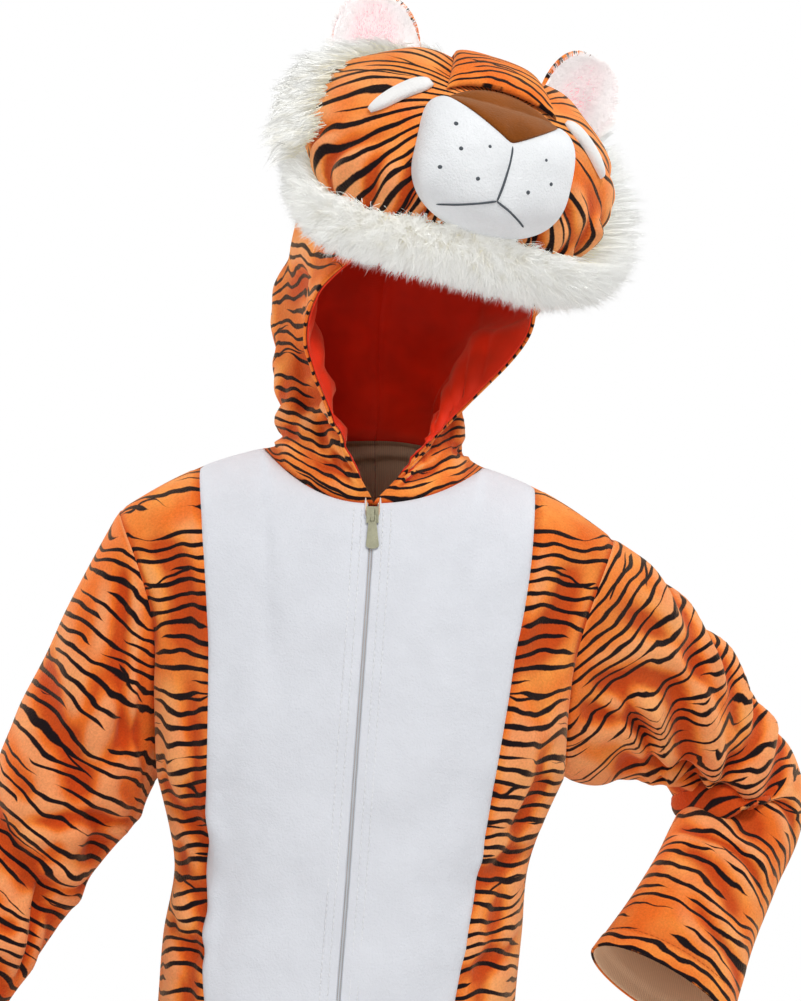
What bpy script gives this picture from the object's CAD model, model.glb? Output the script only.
"""Looks of the hooded tiger costume: plush shells with their creases, pile, fur, seams and zip.

Metres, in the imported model's own frame: the front faces -Y, +Z is up and +X is on the right of
someone who looks at the front. The forms repeat the part's own sizes and are only drawn finer.
"""

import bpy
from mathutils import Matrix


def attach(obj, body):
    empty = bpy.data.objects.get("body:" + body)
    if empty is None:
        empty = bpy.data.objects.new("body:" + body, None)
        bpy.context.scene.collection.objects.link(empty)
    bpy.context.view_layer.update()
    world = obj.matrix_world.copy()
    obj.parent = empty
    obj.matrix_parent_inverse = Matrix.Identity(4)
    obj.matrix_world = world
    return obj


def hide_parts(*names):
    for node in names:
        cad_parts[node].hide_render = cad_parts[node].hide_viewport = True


bl_info = {
    "name": "Hooded tiger costume",
    "version": (1, 0, 0),
    "blender": (4, 5, 0),
    "location": "3D View > Sidebar > Tiger Costume",
    "description": "Plush shells, padded tiger head, fur trim, zip and studio for a hooded costume",
    "category": "Object",
}

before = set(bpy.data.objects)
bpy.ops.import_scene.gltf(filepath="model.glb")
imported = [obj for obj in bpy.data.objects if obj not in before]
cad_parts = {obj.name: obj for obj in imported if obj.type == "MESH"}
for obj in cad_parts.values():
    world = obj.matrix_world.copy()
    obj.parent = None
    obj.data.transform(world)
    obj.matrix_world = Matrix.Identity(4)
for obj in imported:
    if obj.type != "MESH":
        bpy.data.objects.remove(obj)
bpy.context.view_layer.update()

from collections import namedtuple
from functools import partial
from math import atan2, cos, hypot, pi, radians, sin, sqrt

import bmesh
import bpy
import numpy as np
from bpy.props import FloatProperty, IntProperty, PointerProperty, StringProperty
from bpy.types import Operator, Panel, PropertyGroup
from numpy.linalg import norm

GARMENT = "garment"
LEFT, RIGHT = -1, 1
WORDS = {LEFT: "left", RIGHT: "right"}
FRONT, BACK = -1, 1


def table(columns, *rows):
    """A table in metres whose columns have names."""
    kind = namedtuple("Row", columns)
    return tuple(kind(*row) for row in rows)


def millimetres(columns, *rows):
    """The same for a table given in millimetres."""
    return table(columns, *(tuple(value / 1000 for value in row) for row in rows))


def creases(*rows):
    """Creases from one spot to another, in percent of the way round and along a piece of cloth, with
    half width and depth in millimetres."""
    shares = (tuple(share / 100 for share in row[:4]) + (row[4] / 1000, row[5] / 1000) for row in rows)
    return table("round0 along0 round1 along1 half depth", *shares)


# Cloth walls and clearances, as in the part
PLUSH = 0.0022
LINING = 0.0010
LINING_GAP = 0.0006
TAPE = 0.0008
SEAM = 0.0003
SEAT = 0.0005
PAD_SEAT = 0.0015
EDGE_ROUND = 0.35
SEAM_DIP = 0.0013
SEAM_HALF = 0.0032
HEM_RISE = 0.0008
HEM_DIP = 0.0012
HEM_WIDTH = 0.018

# Body, as in the part
ARMPIT_Z = -0.230
HIP_Z = -0.500
CROTCH_DROP = 0.060
RING_POWER = 2.5
ARMHOLE_HALF_OPENING = 0.054
ARMHOLE_ROUNDNESS = 0.6
SHOULDER_ARCH = 0.006
NECK_ROUNDNESS = 0.6
NECK_FRONT_Y = 0.070
NECK_FRONT_Z = -0.032
NECK_FRONT_CURVE = 2.2
NECK_BACK_Y = 0.058
NECK_BACK_Z = 0.014
NECK_DROP_FRONT = 1.0
NECK_DROP_BACK = 0.25

SHOULDERS = dict(zip((LEFT, RIGHT), table(
    "neck_x neck_z tip_x tip_z", (-0.080, 0.007, -0.181, -0.037), (0.079, -0.007, 0.171, -0.058))))

SECTIONS = millimetres(
    "z left right front back",
    (-520, -162, 98, 94, 104), (-450, -160, 99, 101, 108), (-392, -155, 101, 101, 100),
    (-341, -151, 106, 98, 93), (-287, -143, 112, 97, 89), (-262, -147, 121, 98, 90),
    (-230, -155, 136, 99, 93))

ARMHOLES = table(
    "rise left right",
    (0.0, -0.155, 0.136), (0.35, -0.155, 0.139), (0.6, -0.156, 0.147), (0.8, -0.166, 0.158),
    (1.0, -0.181, 0.171))

BIBS = millimetres(
    "z left zip right",
    (-520, -55, -33, -11), (-470, -92, -30, 30), (-425, -109, -27, 47), (-378, -117, -24, 57),
    (-300, -119, -18, 72), (-200, -115, -11, 89), (-130, -115, -6, 101), (-70, -118, -2, 111),
    (-30, -122, 0, 115), (10, -127, 0, 118))

# Zip, as in the part
ZIP_SLOT = 0.0050
ZIP_TOP_Z = -0.034
ZIP_END_Z = -0.470
TAPE_OUTER = 0.0125
TAPE_INNER = 0.0022
TAPE_DEPTH = 0.0030
CHAIN_DEPTH = 0.0016
CHAIN_HALF = 0.0019
TOOTH_PITCH = 0.0013
# A loop of the coil: reach and thickness of its rings, and the shape of each
TOOTH_RINGS = ((-0.0005, 0.55), (-0.0002, 1.0), (0.0011, 1.0), (0.0017, 0.9), (CHAIN_HALF, 0.5))
TOOTH_SHAPE = ((-1, 0), (-0.6, -1), (0.6, -1), (1, 0), (0.6, 1), (-0.6, 1))
SLOT_CLOSED = 0.0020
SLOT_OPEN_Z = -0.050

ARMS = {
    LEFT: millimetres(
        "x y z across deep",
        (-162, 0, -138, 66, 56), (-190, 2, -186, 61, 55), (-228, 4, -249, 52, 50),
        (-277, 0, -325, 48, 45), (-322, -12, -397, 48, 42), (-360, -30, -460, 51, 38)),
    RIGHT: millimetres(
        "x y z across deep",
        (152, 0, -146, 64, 55), (205, 45, -176, 58, 52), (252, 85, -216, 48, 46),
        (276, 102, -258, 46, 44), (256, 72, -302, 45, 42), (232, 34, -340, 48, 38),
        (206, -6, -382, 57, 30)),
}
ARM_BLEND = 0.36
SLEEVE_GIRTH = 0.30

LEGS = millimetres(
    "z offset y across deep",
    (-600, 72, 4, 66, 80), (-700, 79, 4, 61, 68), (-800, 85, 6, 56, 60), (-900, 90, 8, 53, 55),
    (-980, 93, 10, 52, 53))
LEGS_MIDDLE_X = -0.032
LEG_CORNER = radians(42)

# Head and hood, as in the part
HEAD_ROLL = radians(13.5)
HEAD_YAW = radians(17.0)
HOODS = table(
    "turn crown_y crown_z half back",
    (0.0, -0.098, 0.156, 0.09, 0.036), (0.15, -0.096, 0.2, 0.089, 0.048),
    (0.3, -0.074, 0.245, 0.088, 0.06), (0.45, -0.015, 0.262, 0.087, 0.056),
    (0.6, 0.055, 0.246, 0.087, 0.038), (0.75, 0.102, 0.19, 0.087, 0.026),
    (0.88, 0.104, 0.1, 0.085, 0.022), (1.0, 0.058, 0.014, 0.08, 0.0))
HOOD_SIDE = 0.58
HOOD_FLARES = {LEFT: 0.72, RIGHT: 0.95}
HOOD_EDGE_OUT = {LEFT: 0.010, RIGHT: 0.000}
HOOD_EDGE_TURN = 0.35
HOOD_EDGE_RISE = (0.72, 0.25)
HOOD_FLARE_CURVE = 1.35
HOOD_CORNER = 0.65
HOOD_SPAN = (0.31, 0.30)
DOME_MIDDLE = np.array((0.0, 0.004, 0.150))
DOME_HALF = (0.090, 0.104, 0.112)
DOME_POWER = 2.4
DOME_FROM_Z = 0.100
DOME_FULL_Z = 0.138
HEAD_MIDDLE = np.array((-0.005, 0.0, 0.200))
HEAD_HALF = (0.124, 0.121, 0.084)
HEAD_POWER = 2.6
FACE_TILT = radians(49)
FACE_SPREADS = (radians(63), radians(43))
FACE_CORNER = 2.4
FACE_ROUND = 0.30
FACE_CAST = 0.130
BROW = (0.045, -0.050, 0.272)
BROW_HALF = 0.026
BROW_RAISED = 0.009
EDGE_THICK = 0.0015
MUZZLE_MIDDLE_Z = 0.205
MUZZLE_HALF = 0.057
MUZZLE_UP = 0.047
MUZZLE_DOWN = 0.042
MUZZLE_DEPTH = 0.031
MUZZLE_CORNERS = (5.0, 2.3)
GROOVE_DEEP = 0.0022
GROOVE_HALF = 0.006
# The notch in the muzzle's top where the nose sits: its lowest point, its rise and half its width
NOTCH_Z = 0.2245
NOTCH_RISE = 0.0235
NOTCH_HALF = 0.040
NOSE_HALF = 0.0385
NOSE_TOP_Z = 0.2500
NOSE_ARC = 0.0125
NOSE_RAISED = 0.0045
EYE_INNER = (0.050, 0.2560)
EYE_OUTER = (0.0850, 0.2260)
EYE_HALF = 0.0048
EYE_RAISED = 0.0045
BRIDGE_HALF = 0.040
BRIDGE_NARROWS = 0.5
BRIDGE_RAISED = 0.010
BRIDGE_ARCH = radians(6.5)
BRIDGE_RISES = (radians(33), radians(84))
EAR_MIDDLE_X = 0.004
EAR_BASE_X = 0.074
EAR_BASE_Y = -0.016
EAR_BASE_Z = 0.272
EAR_HALF = 0.032
EAR_HEIGHT = 0.049
EAR_LEAN = radians(16)
EAR_OUT = radians(14)
EAR_CUP = 0.008
EAR_THICK = 0.0032
EAR_SEAT = 0.0004
EAR_EDGE = 0.06
FUR_ANGLES = (radians(122), radians(420))
FUR_OUT = 0.027
# Fibres in each lock of the fur
LOCK = 24
FUR_REACH = 0.033
CHEEKS = table(
    "angle longer",
    (122, 0.012), (150, 0.018), (180, 0.018), (215, 0.012), (250, 0.002), (290, 0.002), (320, 0.018),
    (345, 0.034), (375, 0.046), (400, 0.048), (420, 0.04))

SLEEVE_FOLDS = {
    LEFT: creases(
        (2, 34, 34, 52, 16, 7), (5, 48, 40, 60, 15, 6), (96, 40, 70, 54, 16, 6),
        (30, 70, 55, 86, 14, 4)),
    RIGHT: creases(
        (3, 14, 20, 50, 17, 9), (1, 34, 22, 58, 15, 9), (98, 52, 30, 66, 14, 8),
        (97, 38, 74, 52, 16, 8), (10, 72, 34, 84, 13, 4)),
}
HOOD_FOLDS = {
    LEFT: creases(
        (14, 5, 12, 42, 16, 4), (30, 2, 20, 62, 18, 6), (20, 80, 26, 110, 18, 5)),
    RIGHT: creases(
        (14, 30, 16, 64, 16, 4), (32, 10, 26, 60, 18, 6), (20, 74, 26, 110, 18, 5)),
}
BODY_SPAN = (0.145, 0.240)
BODY_FADE = 0.05
SEAM_CROWDING = 1.8
YOKE_MIDDLE_Z = -0.12
BODY_FOLDS = {
    FRONT: creases(
        (-98, -2, -62, -40, 16, 5), (100, -6, 66, -34, 16, 6), (98, -34, 60, -60, 18, 5),
        (-98, -52, -70, -86, 18, 4)),
    BACK: creases(
        (-90, 16, -30, -10, 20, 6), (92, 12, 24, -14, 20, 6), (-62, -50, 34, -58, 22, 7),
        (-20, -76, 72, -68, 20, 5)),
}

# Finer creases that only the looks carry
SLEEVE_CREASES = {
    LEFT: creases(
        (10, 6, 22, 30, 7, 2.6), (26, 10, 20, 44, 8, 2.2), (4, 26, 30, 40, 6, 3),
        (0, 42, 22, 50, 6, 2.8), (12, 56, 44, 70, 7, 2.6), (95, 52, 66, 66, 7, 2.6),
        (90, 22, 62, 34, 8, 2.4), (56, 30, 46, 62, 9, 2.2), (20, 78, 2, 92, 6, 2.4),
        (70, 74, 52, 96, 8, 2), (46, 18, 2, 38, 11, 4.4), (50, 34, 4, 56, 12, 5.6),
        (47, 52, 6, 72, 11, 5), (40, 66, 2, 86, 10, 4.4), (34, 4, 12, 16, 9, 3),
        (16, 46, 5, 66, 5.5, 4), (32, 58, 12, 72, 5.5, 3.6)),
    RIGHT: creases(
        (14, 3, 26, 22, 7, 2.6), (30, 6, 32, 34, 8, 2.2), (7, 20, 27, 54, 6, 3.4),
        (2, 26, 16, 46, 5, 3.4), (10, 44, 42, 60, 7, 2), (46, 44, 20, 50, 8, 2.6),
        (96, 46, 70, 58, 6, 3), (92, 60, 68, 70, 7, 2.6), (46, 36, 62, 56, 9, 2.6),
        (56, 26, 44, 46, 8, 2.4), (6, 66, 36, 74, 6, 2.2), (20, 84, 44, 94, 7, 1.6),
        (52, 10, 30, 24, 10, 4), (55, 20, 26, 34, 9, 4.4), (54, 30, 22, 40, 10, 4.4),
        (25, 16, 12, 42, 11, 6.4), (33, 24, 16, 46, 8, 3.6), (17, 10, 6, 34, 5, 4.6),
        (11, 3, 15, 22, 4.5, 3.4)),
}
HOOD_CREASES = {
    LEFT: creases(
        (5, 10, 6, 46, 4.5, 3), (9, 4, 8, 30, 4, 2.6), (18, 0, 15, 34, 5, 2.8), (24, 16, 16, 60, 6, 3),
        (38, 2, 30, 40, 7, 2.4), (46, 6, 42, 46, 8, 1.8), (10, 60, 14, 96, 6, 3),
        (22, 66, 18, 98, 7, 2.6), (34, 72, 44, 96, 8, 2)),
    RIGHT: creases(
        (5, 14, 7, 52, 4.5, 2.8), (10, 6, 10, 34, 4, 2.4), (20, 10, 18, 50, 5.5, 3),
        (27, 4, 22, 44, 6, 2.6), (40, 4, 36, 44, 7, 2.2), (11, 62, 13, 98, 6, 3),
        (24, 64, 20, 98, 7, 2.6), (38, 70, 46, 94, 8, 2)),
}
BODY_CREASES = {
    FRONT: creases(
        (-99, 10, -84, -16, 8, 3), (-84, 24, -78, -80, 7, 2.6), (86, 20, 80, -70, 7, 2.2),
        (-96, -14, -80, -34, 7, 2.6), (-99, -36, -74, -44, 7, 2.6), (-96, -62, -80, -74, 8, 2.2),
        (-92, 64, -78, 30, 8, 2.2), (99, 12, 82, -12, 8, 3.2), (97, -16, 72, -26, 7, 2.8),
        (99, -40, 72, -50, 7, 2.8), (94, -58, 66, -72, 8, 2.2), (90, 60, 78, 26, 8, 2.2),
        (-60, -26, -10, -34, 16, 1.2), (12, -10, 58, -2, 16, 1.2), (-50, 30, -14, 24, 18, 1),
        (10, -62, 44, -56, 16, 1.2)),
    BACK: creases(
        (-98, 30, -52, 22, 9, 3), (-98, 6, -46, -14, 8, 3.4), (98, 26, 50, 14, 9, 3),
        (98, 2, 44, -16, 8, 3.4), (-30, 78, 20, 84, 8, 2.4), (-80, -40, 10, -46, 9, 3.4),
        (-10, -52, 84, -42, 9, 3.2), (-70, -64, -5, -70, 10, 2.8), (10, -86, 70, -78, 10, 2.6),
        (-24, 60, -10, -20, 10, 1.8)),
}
# Round runs from the inner leg over the front to the side seam and back; along runs to the hem
LEG_CREASES = {
    LEFT: creases(
        (10, 4, 40, 16, 10, 4), (6, 16, 30, 22, 9, 3.4), (20, 40, 46, 46, 9, 3.4),
        (8, 50, 36, 54, 8, 3.4), (60, 44, 92, 52, 9, 4), (56, 56, 84, 60, 9, 3.4),
        (70, 8, 94, 20, 12, 4), (10, 88, 42, 92, 8, 3), (54, 86, 90, 90, 8, 3),
        (30, 70, 20, 84, 10, 2.2)),
    RIGHT: creases(
        (8, 5, 36, 13, 10, 4), (12, 18, 34, 26, 9, 3), (16, 44, 44, 42, 9, 3.4),
        (10, 54, 30, 60, 8, 3), (58, 48, 94, 46, 9, 4), (62, 60, 88, 56, 9, 3.4),
        (66, 12, 92, 16, 12, 4), (6, 90, 36, 86, 8, 3), (58, 92, 94, 88, 8, 3),
        (36, 66, 26, 80, 10, 2.2)),
}

# Puckers where the padded face is gathered into its seam: angle round it in degrees, shares of the
# way out. All of them reach further in by a share, and are deeper by a factor.
PUCKER_REACH = 0.13
PUCKER_STRENGTH = 1.7
FACE_PUCKERS = table("angle spread0 spread1 half depth", *(
    (angle, start / 100, end / 100, half / 1000, depth / 1000) for angle, start, end, half, depth in (
        (188, 98, 66, 4.5, 2), (202, 99, 58, 5, 2.4), (216, 98, 70, 4, 2), (229, 99, 62, 4.5, 2.2),
        (243, 98, 72, 4, 2), (258, 99, 70, 4.5, 1.8), (274, 98, 74, 4, 1.8), (289, 99, 68, 4.5, 2.2),
        (303, 98, 60, 5, 2.4), (318, 99, 56, 5.5, 2.8), (333, 98, 52, 5.5, 3), (347, 99, 60, 5, 2.6),
        (4, 98, 62, 5, 2.4), (24, 99, 70, 5, 2), (156, 98, 66, 5, 2), (172, 99, 70, 4.5, 2))))
MOUTH_DROP = ((0.0, 0.2235), (0.0, 0.2110), (-0.0008, 0.1980), (-0.0021, 0.1850))
MOUTH_LEFT = ((-0.0021, 0.1850), (-0.0130, 0.1808), (-0.0255, 0.1768), (-0.0375, 0.1743))
MOUTH_RIGHT = ((-0.0021, 0.1850), (0.0070, 0.1815), (0.0158, 0.1776), (0.0238, 0.1739))
WHISKERS = (
    (-0.0400, 0.2290), (-0.0345, 0.2130), (-0.0165, 0.2190), (-0.0440, 0.1980), (-0.0195, 0.1960),
    (0.0250, 0.2205), (0.0330, 0.2060), (0.0170, 0.1960),
)


LENGTH = {"unit": "LENGTH", "subtype": "DISTANCE"}


class CostumeSizes(PropertyGroup):
    """Sizes of the cloth's detail."""
    crease: FloatProperty(
        name="Crease strength", description="Scales every fine crease", default=1.5, min=0, max=3)
    stripe_pitch: FloatProperty(
        name="Stripe pitch", description="Distance between rows of stripes", default=0.0096, **LENGTH)
    stripe_half: FloatProperty(
        name="Stripe half width", description="Half of the widest stripe", default=0.0017, **LENGTH)
    strands: IntProperty(
        name="Fur strands", description="Strands in each stretch of the trim", default=24000, min=200)
    ear_pile: FloatProperty(
        name="Ear pile", description="Length of the pile on the ears", default=0.0065, **LENGTH)
    ear_strands: IntProperty(
        name="Ear strands", description="Strands on the front of each ear", default=9000, min=100)
    stitch: FloatProperty(
        name="Stitch length", description="Length of one topstitch", default=0.0032, **LENGTH)


class CostumeColours(PropertyGroup):
    """Colours of the costume, as sRGB hex values."""
    orange: StringProperty(name="Orange plush", description="Ground of the print", default="#FF9E48")
    orange_deep: StringProperty(name="Deep orange", description="Pile that lies away", default="#F27528")
    orange_fold: StringProperty(name="Orange in folds", description="Closed pile", default="#C23A0C")
    orange_ridge: StringProperty(name="Orange on ridges", description="Opened pile", default="#FFC08A")
    stripe: StringProperty(name="Stripes", description="Printed stripes", default="#150C12")
    white: StringProperty(name="White plush", description="Front panel", default="#E2E4EA")
    muzzle: StringProperty(name="Muzzle plush", description="Fluffed white plush", default="#F2F4F6")
    lining: StringProperty(name="Lining", description="Lining of the hood", default="#F0300A")
    fur: StringProperty(name="Fur tips", description="Tips of the long pile", default="#FFFFFB")
    fur_root: StringProperty(name="Fur roots", description="Roots of the long pile", default="#EFE8D2")
    pink: StringProperty(name="Pink plush", description="Middle of the ears", default="#FFC9CF")
    ear_rim: StringProperty(name="Ear rim", description="Plush round the ears", default="#FFFDFD")
    brown: StringProperty(name="Brown plush", description="Nose", default="#8C4A14")
    cord: StringProperty(name="Grey thread", description="Mouth and whisker dots", default="#565C62")
    tape: StringProperty(name="Zip tape", description="Woven tapes", default="#ECEDF1")
    metal: StringProperty(name="Slider", description="Plated slider and pull tab", default="#B4B298")


class StageSettings(PropertyGroup):
    """Camera, floor and studio light."""
    distance: FloatProperty(
        name="Camera distance", description="From the costume to the camera", default=2.2, **LENGTH)
    height: FloatProperty(
        name="Camera height", description="Height of the camera above the neck", default=-0.031, **LENGTH)
    side: FloatProperty(
        name="Camera side", description="Sideways place of the camera", default=0.019, **LENGTH)
    lens: FloatProperty(name="Lens", description="Focal length in millimetres", default=110.0, min=20)
    light: FloatProperty(
        name="Light", description="Strength of the large soft lights", default=1.0, min=0)


def sizes():
    return bpy.context.scene.tiger_costume_sizes


def colours():
    return bpy.context.scene.tiger_costume_colours


def along(rows, name, at):
    """Read one column of a table on a smooth curve, at any value of its first column."""
    keys = np.array([row[0] for row in rows])
    values = np.array([getattr(row, name) for row in rows])
    slopes = np.gradient(values, keys)
    spot = np.clip(np.asarray(at, float), keys[0], keys[-1])
    low = np.clip(np.searchsorted(keys, spot) - 1, 0, len(keys) - 2)
    span = keys[low + 1] - keys[low]
    t = (spot - keys[low]) / span
    start = values[low] * (1 + 2 * t) * (1 - t) ** 2 + slopes[low] * span * t * (1 - t) ** 2
    end = values[low + 1] * t * t * (3 - 2 * t) + slopes[low + 1] * span * t * t * (t - 1)
    return start + end


def clamp(value):
    """Hold a value between 0 and 1."""
    return np.clip(value, 0.0, 1.0)


def shares(cells):
    """The ends of cells of one size, from 0 to 1."""
    return np.linspace(0, 1, cells + 1)


def ease(value):
    """Go smoothly from 0 to 1."""
    t = clamp(value)
    return t * t * (3 - 2 * t)


def unit(vectors):
    """Scale vectors to length 1."""
    return vectors / np.maximum(norm(vectors, axis=-1, keepdims=True), 1e-12)


def stack(x, y, z):
    """Join three arrays into points."""
    return np.stack(np.broadcast_arrays(x, y, z), axis=-1).astype(float)


def closed(grid):
    """A grid with its first column once more at its end."""
    return np.concatenate([grid, grid[:, :1]], axis=1)


def run_along(path):
    """Distance of each point of a path from its start."""
    return np.concatenate([[0], np.cumsum(norm(np.diff(path, axis=0), axis=1))])


def around_middle(half, power, direction):
    """Distance from a rounded block's middle to its surface, along unit directions."""
    return np.sum(np.abs(direction / np.array(half)) ** power, axis=-1) ** (-1 / power)


def grid_normals(points, middle, wrap=False):
    """Unit normals of a grid of points, turned away from its middle."""
    ring = np.concatenate([points[:, -1:], points, points[:, :1]], axis=1) if wrap else points
    across = np.gradient(ring, axis=1)
    across = across[:, 1:-1] if wrap else across
    normals = unit(np.cross(across, np.gradient(points, axis=0)))
    return normals if np.sum(normals * (points - middle)) > 0 else -normals


def trough(folds, around, lengthwise, girth, length, wrap=False, lips=0.0):
    """Depth of soft troughs on a piece of cloth. lips raises both sides of each."""
    total = np.zeros(np.broadcast(around, lengthwise).shape)
    for crease in folds:
        turn = crease.round1 - crease.round0
        turn -= round(turn) if wrap else 0
        run = np.array((turn * girth, (crease.along1 - crease.along0) * length))
        across = around - crease.round0
        across = (across - (np.round(across) if wrap else 0)) * girth
        down = (lengthwise - crease.along0) * length
        size = np.dot(run, run)
        spot = (across * run[0] + down * run[1]) / size
        aside = (across * run[1] - down * run[0]) / sqrt(size)
        taper = np.exp(-np.clip(np.abs(spot - 0.5) - 0.3, 0, None) ** 2 / 0.03)
        if lips:
            aside = aside + crease.half * 0.5 * np.sin(spot * 5.0 + crease.along0 * 30.0)
        shape = np.exp(-(aside / crease.half) ** 2)
        shape = shape - lips * np.exp(-(np.abs(aside) / crease.half - 1.9) ** 2)
        total += crease.depth * taper * shape
    return total


def ripple(u, v, size, seed):
    """A gentle uneven surface between -1 and 1, made of crossing waves."""
    total = 0.0
    for step in range(6):
        turn = seed * 1.7 + step * 2.4
        scale = (1.0 + 0.45 * step) / size
        total = total + np.sin((u * cos(turn) + v * sin(turn)) * scale * 2 * pi
                               + seed * 3.1 + step * 1.9) / (1 + 0.6 * step)
    return total / 3.0


def head(points):
    """Carry points from the head's own frame into the garment's frame."""
    turn = np.array([[cos(HEAD_YAW), -sin(HEAD_YAW), 0],
                     [sin(HEAD_YAW), cos(HEAD_YAW), 0],
                     [0, 0, 1]])
    lean = np.array([[cos(HEAD_ROLL), 0, sin(HEAD_ROLL)],
                     [0, 1, 0],
                     [-sin(HEAD_ROLL), 0, cos(HEAD_ROLL)]])
    return np.asarray(points) @ (lean @ turn).T


def unhead(points):
    """Carry points from the garment's frame into the head's own frame."""
    return np.asarray(points) @ head(np.eye(3)).T


def linear(code):
    """A linear colour from an sRGB hex value."""
    values = [int(code[i:i + 2], 16) / 255 for i in (1, 3, 5)]
    return tuple(c / 12.92 if c < 0.04045 else ((c + 0.055) / 1.055) ** 2.4 for c in values) + (1.0,)


def fill(tree, node, inputs):
    """Set a node's inputs to values, or link them from nodes or sockets."""
    for key, value in inputs:
        if isinstance(value, bpy.types.Node):
            value = value.outputs[0]
        if isinstance(value, bpy.types.NodeSocket):
            tree.links.new(value, node.inputs[key])
        else:
            node.inputs[key].default_value = value


def add_node(tree, kind, inputs=(), **settings):
    """Add a shader node with its settings and inputs."""
    node = tree.nodes.new("ShaderNode" + kind)
    for name, value in settings.items():
        setattr(node, name, value)
    fill(tree, node, inputs.items() if isinstance(inputs, dict) else enumerate(inputs))
    return node


# Cells along each stretch of a panel, about 3 mm each
NECK_FRONT_CELLS = 24
NECK_BACK_CELLS = 22
SHOULDER_CELLS = 12
SIDE_CELLS = 14
BACK_SIDE_CELLS = 26
BODY_ROWS = 72
YOKE_ROWS = 56
SLEEVE_ROWS = 112
LEG_ROWS = 96
CROTCH_CELLS = 31
HOOD_CLIMB_CELLS = 74
HOOD_TURN_CELLS = 84
# Creases fade out by this angle beside the sharp corners of the crotch, over this share of the leg
CORNER_FADE = 0.35
CORNER_SHARE = 0.35
LEG_GIRTH = 0.38
LEG_LENGTH = 0.48
FACE_CELLS = 100
MUZZLE_CELLS = 64
NOSE_CELLS = 30
FAN_MIDDLE = (0.0, -0.110, 0.262)
FAN_RADIUS = 0.105
FAN_TURN = 0.084
BROW_ANGLES = (106, 186)
BROW_SPREADS = (0.66, 0.92)
BROW_BEND = 0.35
FLOOR_Z = -0.984
WORLD_LIGHT = 0.34
# Light that pale fibres pass on to each other
FIBRE_LIGHT = 0.34
# Cells averaged on each side of a point, and the height in metres at which a fold is deep
HOLLOW_CELLS = 5
HOLLOW_DEEP = 0.0017
# Share of a sleeve's length after which its inside shows through the cuff
CUFF_SHARE = 0.68
# How much more of a sleeve's pile lies away and looks deeper
SLEEVE_DEEP = {LEFT: 0.16, RIGHT: 0.02}
SLEEVE_SLANTS = {
    LEFT: table("share slope", (0.0, 0.05), (0.5, 0.0), (1.0, 0.05)),
    RIGHT: table("share slope", (0.0, -0.42), (0.25, -0.45), (0.45, -0.38), (0.65, -0.08), (1.0, 0.0)),
}
# Name, place, width and height in metres, and power in watts
STUDIO_LIGHTS = (
    ("key_light", (0.7, -1.9, 2.2), (0.9, 0.9), 50.0),
    ("fill_light", (-0.9, -2.6, 0.2), (1.8, 1.8), 13.0),
    ("left_edge_light", (-1.9, 0.8, 0.5), (0.8, 1.6), 24.0),
    ("right_edge_light", (1.9, 0.9, 0.8), (0.8, 1.6), 22.0),
)
# Share of a crease's depth by which the cloth rises on both sides of it
LIPS = 0.45


def shoulder_top(side, face):
    """Height and depth of the body's top edge: shoulder seam and neckline."""
    pairs = zip(SHOULDERS[LEFT], SHOULDERS[RIGHT])
    neck_x, neck_z, tip_x, tip_z = (np.where(side < 0, *pair) for pair in pairs)
    start = np.abs(neck_x / tip_x)
    out = clamp((np.abs(side) - start) / (1 - start))
    shoulder_z = neck_z + (tip_z - neck_z) * out + SHOULDER_ARCH * np.sin(pi * out)
    near = clamp(np.abs(side) / start)
    middle_z = np.where(face < 0, NECK_FRONT_Z, NECK_BACK_Z)
    middle_y = np.where(face < 0, NECK_FRONT_Y, NECK_BACK_Y)
    edge_z = middle_z + (neck_z - middle_z) * near ** NECK_FRONT_CURVE
    edge_y = middle_y * clamp(np.cos(near * pi / 2)) ** NECK_ROUNDNESS
    return np.where(near < 1, edge_z, shoulder_z), np.where(near < 1, edge_y, 0.0)


def body_edges(level):
    """The x of the body's left and right edges at a level, and the height there."""
    rise = np.sin(clamp(level) * pi / 2)
    low_z = ARMPIT_Z + np.clip(level, -1, 0) * (ARMPIT_Z - HIP_Z)
    left, right = (np.where(level <= 0, along(SECTIONS, word, low_z), along(ARMHOLES, word, rise))
                   for word in WORDS.values())
    return left, right, low_z, rise


def body_point(side, level, face):
    """The body's outer surface. side runs from -1 to 1 between the side seams, and level from -1 at
    the hips through 0 at the armpits to 1 at the shoulder seam."""
    side, level, face = np.broadcast_arrays(side, level, face)
    left, right, low_z, rise = body_edges(level)
    top_z, top_y = shoulder_top(side, face)
    z = low_z + rise * (top_z - ARMPIT_Z)
    zip_x = along(BIBS, "zip", z)
    x = zip_x + np.where(side < 0, zip_x - left, right - zip_x) * side
    depth = np.where(face < 0, along(SECTIONS, "front", low_z), along(SECTIONS, "back", low_z))
    out = np.abs(side)
    full = clamp(1 - out ** RING_POWER) ** (1 / RING_POWER)
    soft = 1 - out ** 3
    open_share = ease(clamp(level) / 0.4)
    profile = full * (1 - open_share) + soft * open_share
    keep = np.sqrt(clamp(1 - rise ** 3))
    lift = clamp(np.sin(pi * clamp(level))) ** ARMHOLE_ROUNDNESS
    y = top_y * (1 - keep) + depth * keep * profile + ARMHOLE_HALF_OPENING * lift * out ** 3
    troughs = [trough(BODY_FOLDS[way], side, level, *BODY_SPAN) for way in (FRONT, BACK)]
    y = y - np.where(face < 0, *troughs) * (1 - out ** 4) * (1 - np.abs(level) ** 4)
    return stack(x, face * y, z)


def zip_slot(z):
    """Half the slot between the bib halves: wide at the slider and sewn shut below."""
    half = SLOT_CLOSED + (ZIP_SLOT - SLOT_CLOSED) * ease((z - SLOT_OPEN_Z) / 0.010)
    return SEAM / 2 + (half - SEAM / 2) * ease((z - ZIP_END_Z + 0.012) / 0.016)


def body_levels():
    """Levels of the body's rows, from the hips to the shoulder seam."""
    return np.concatenate([np.linspace(-1, 0, BODY_ROWS + 1), shares(YOKE_ROWS)[1:]])


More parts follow.
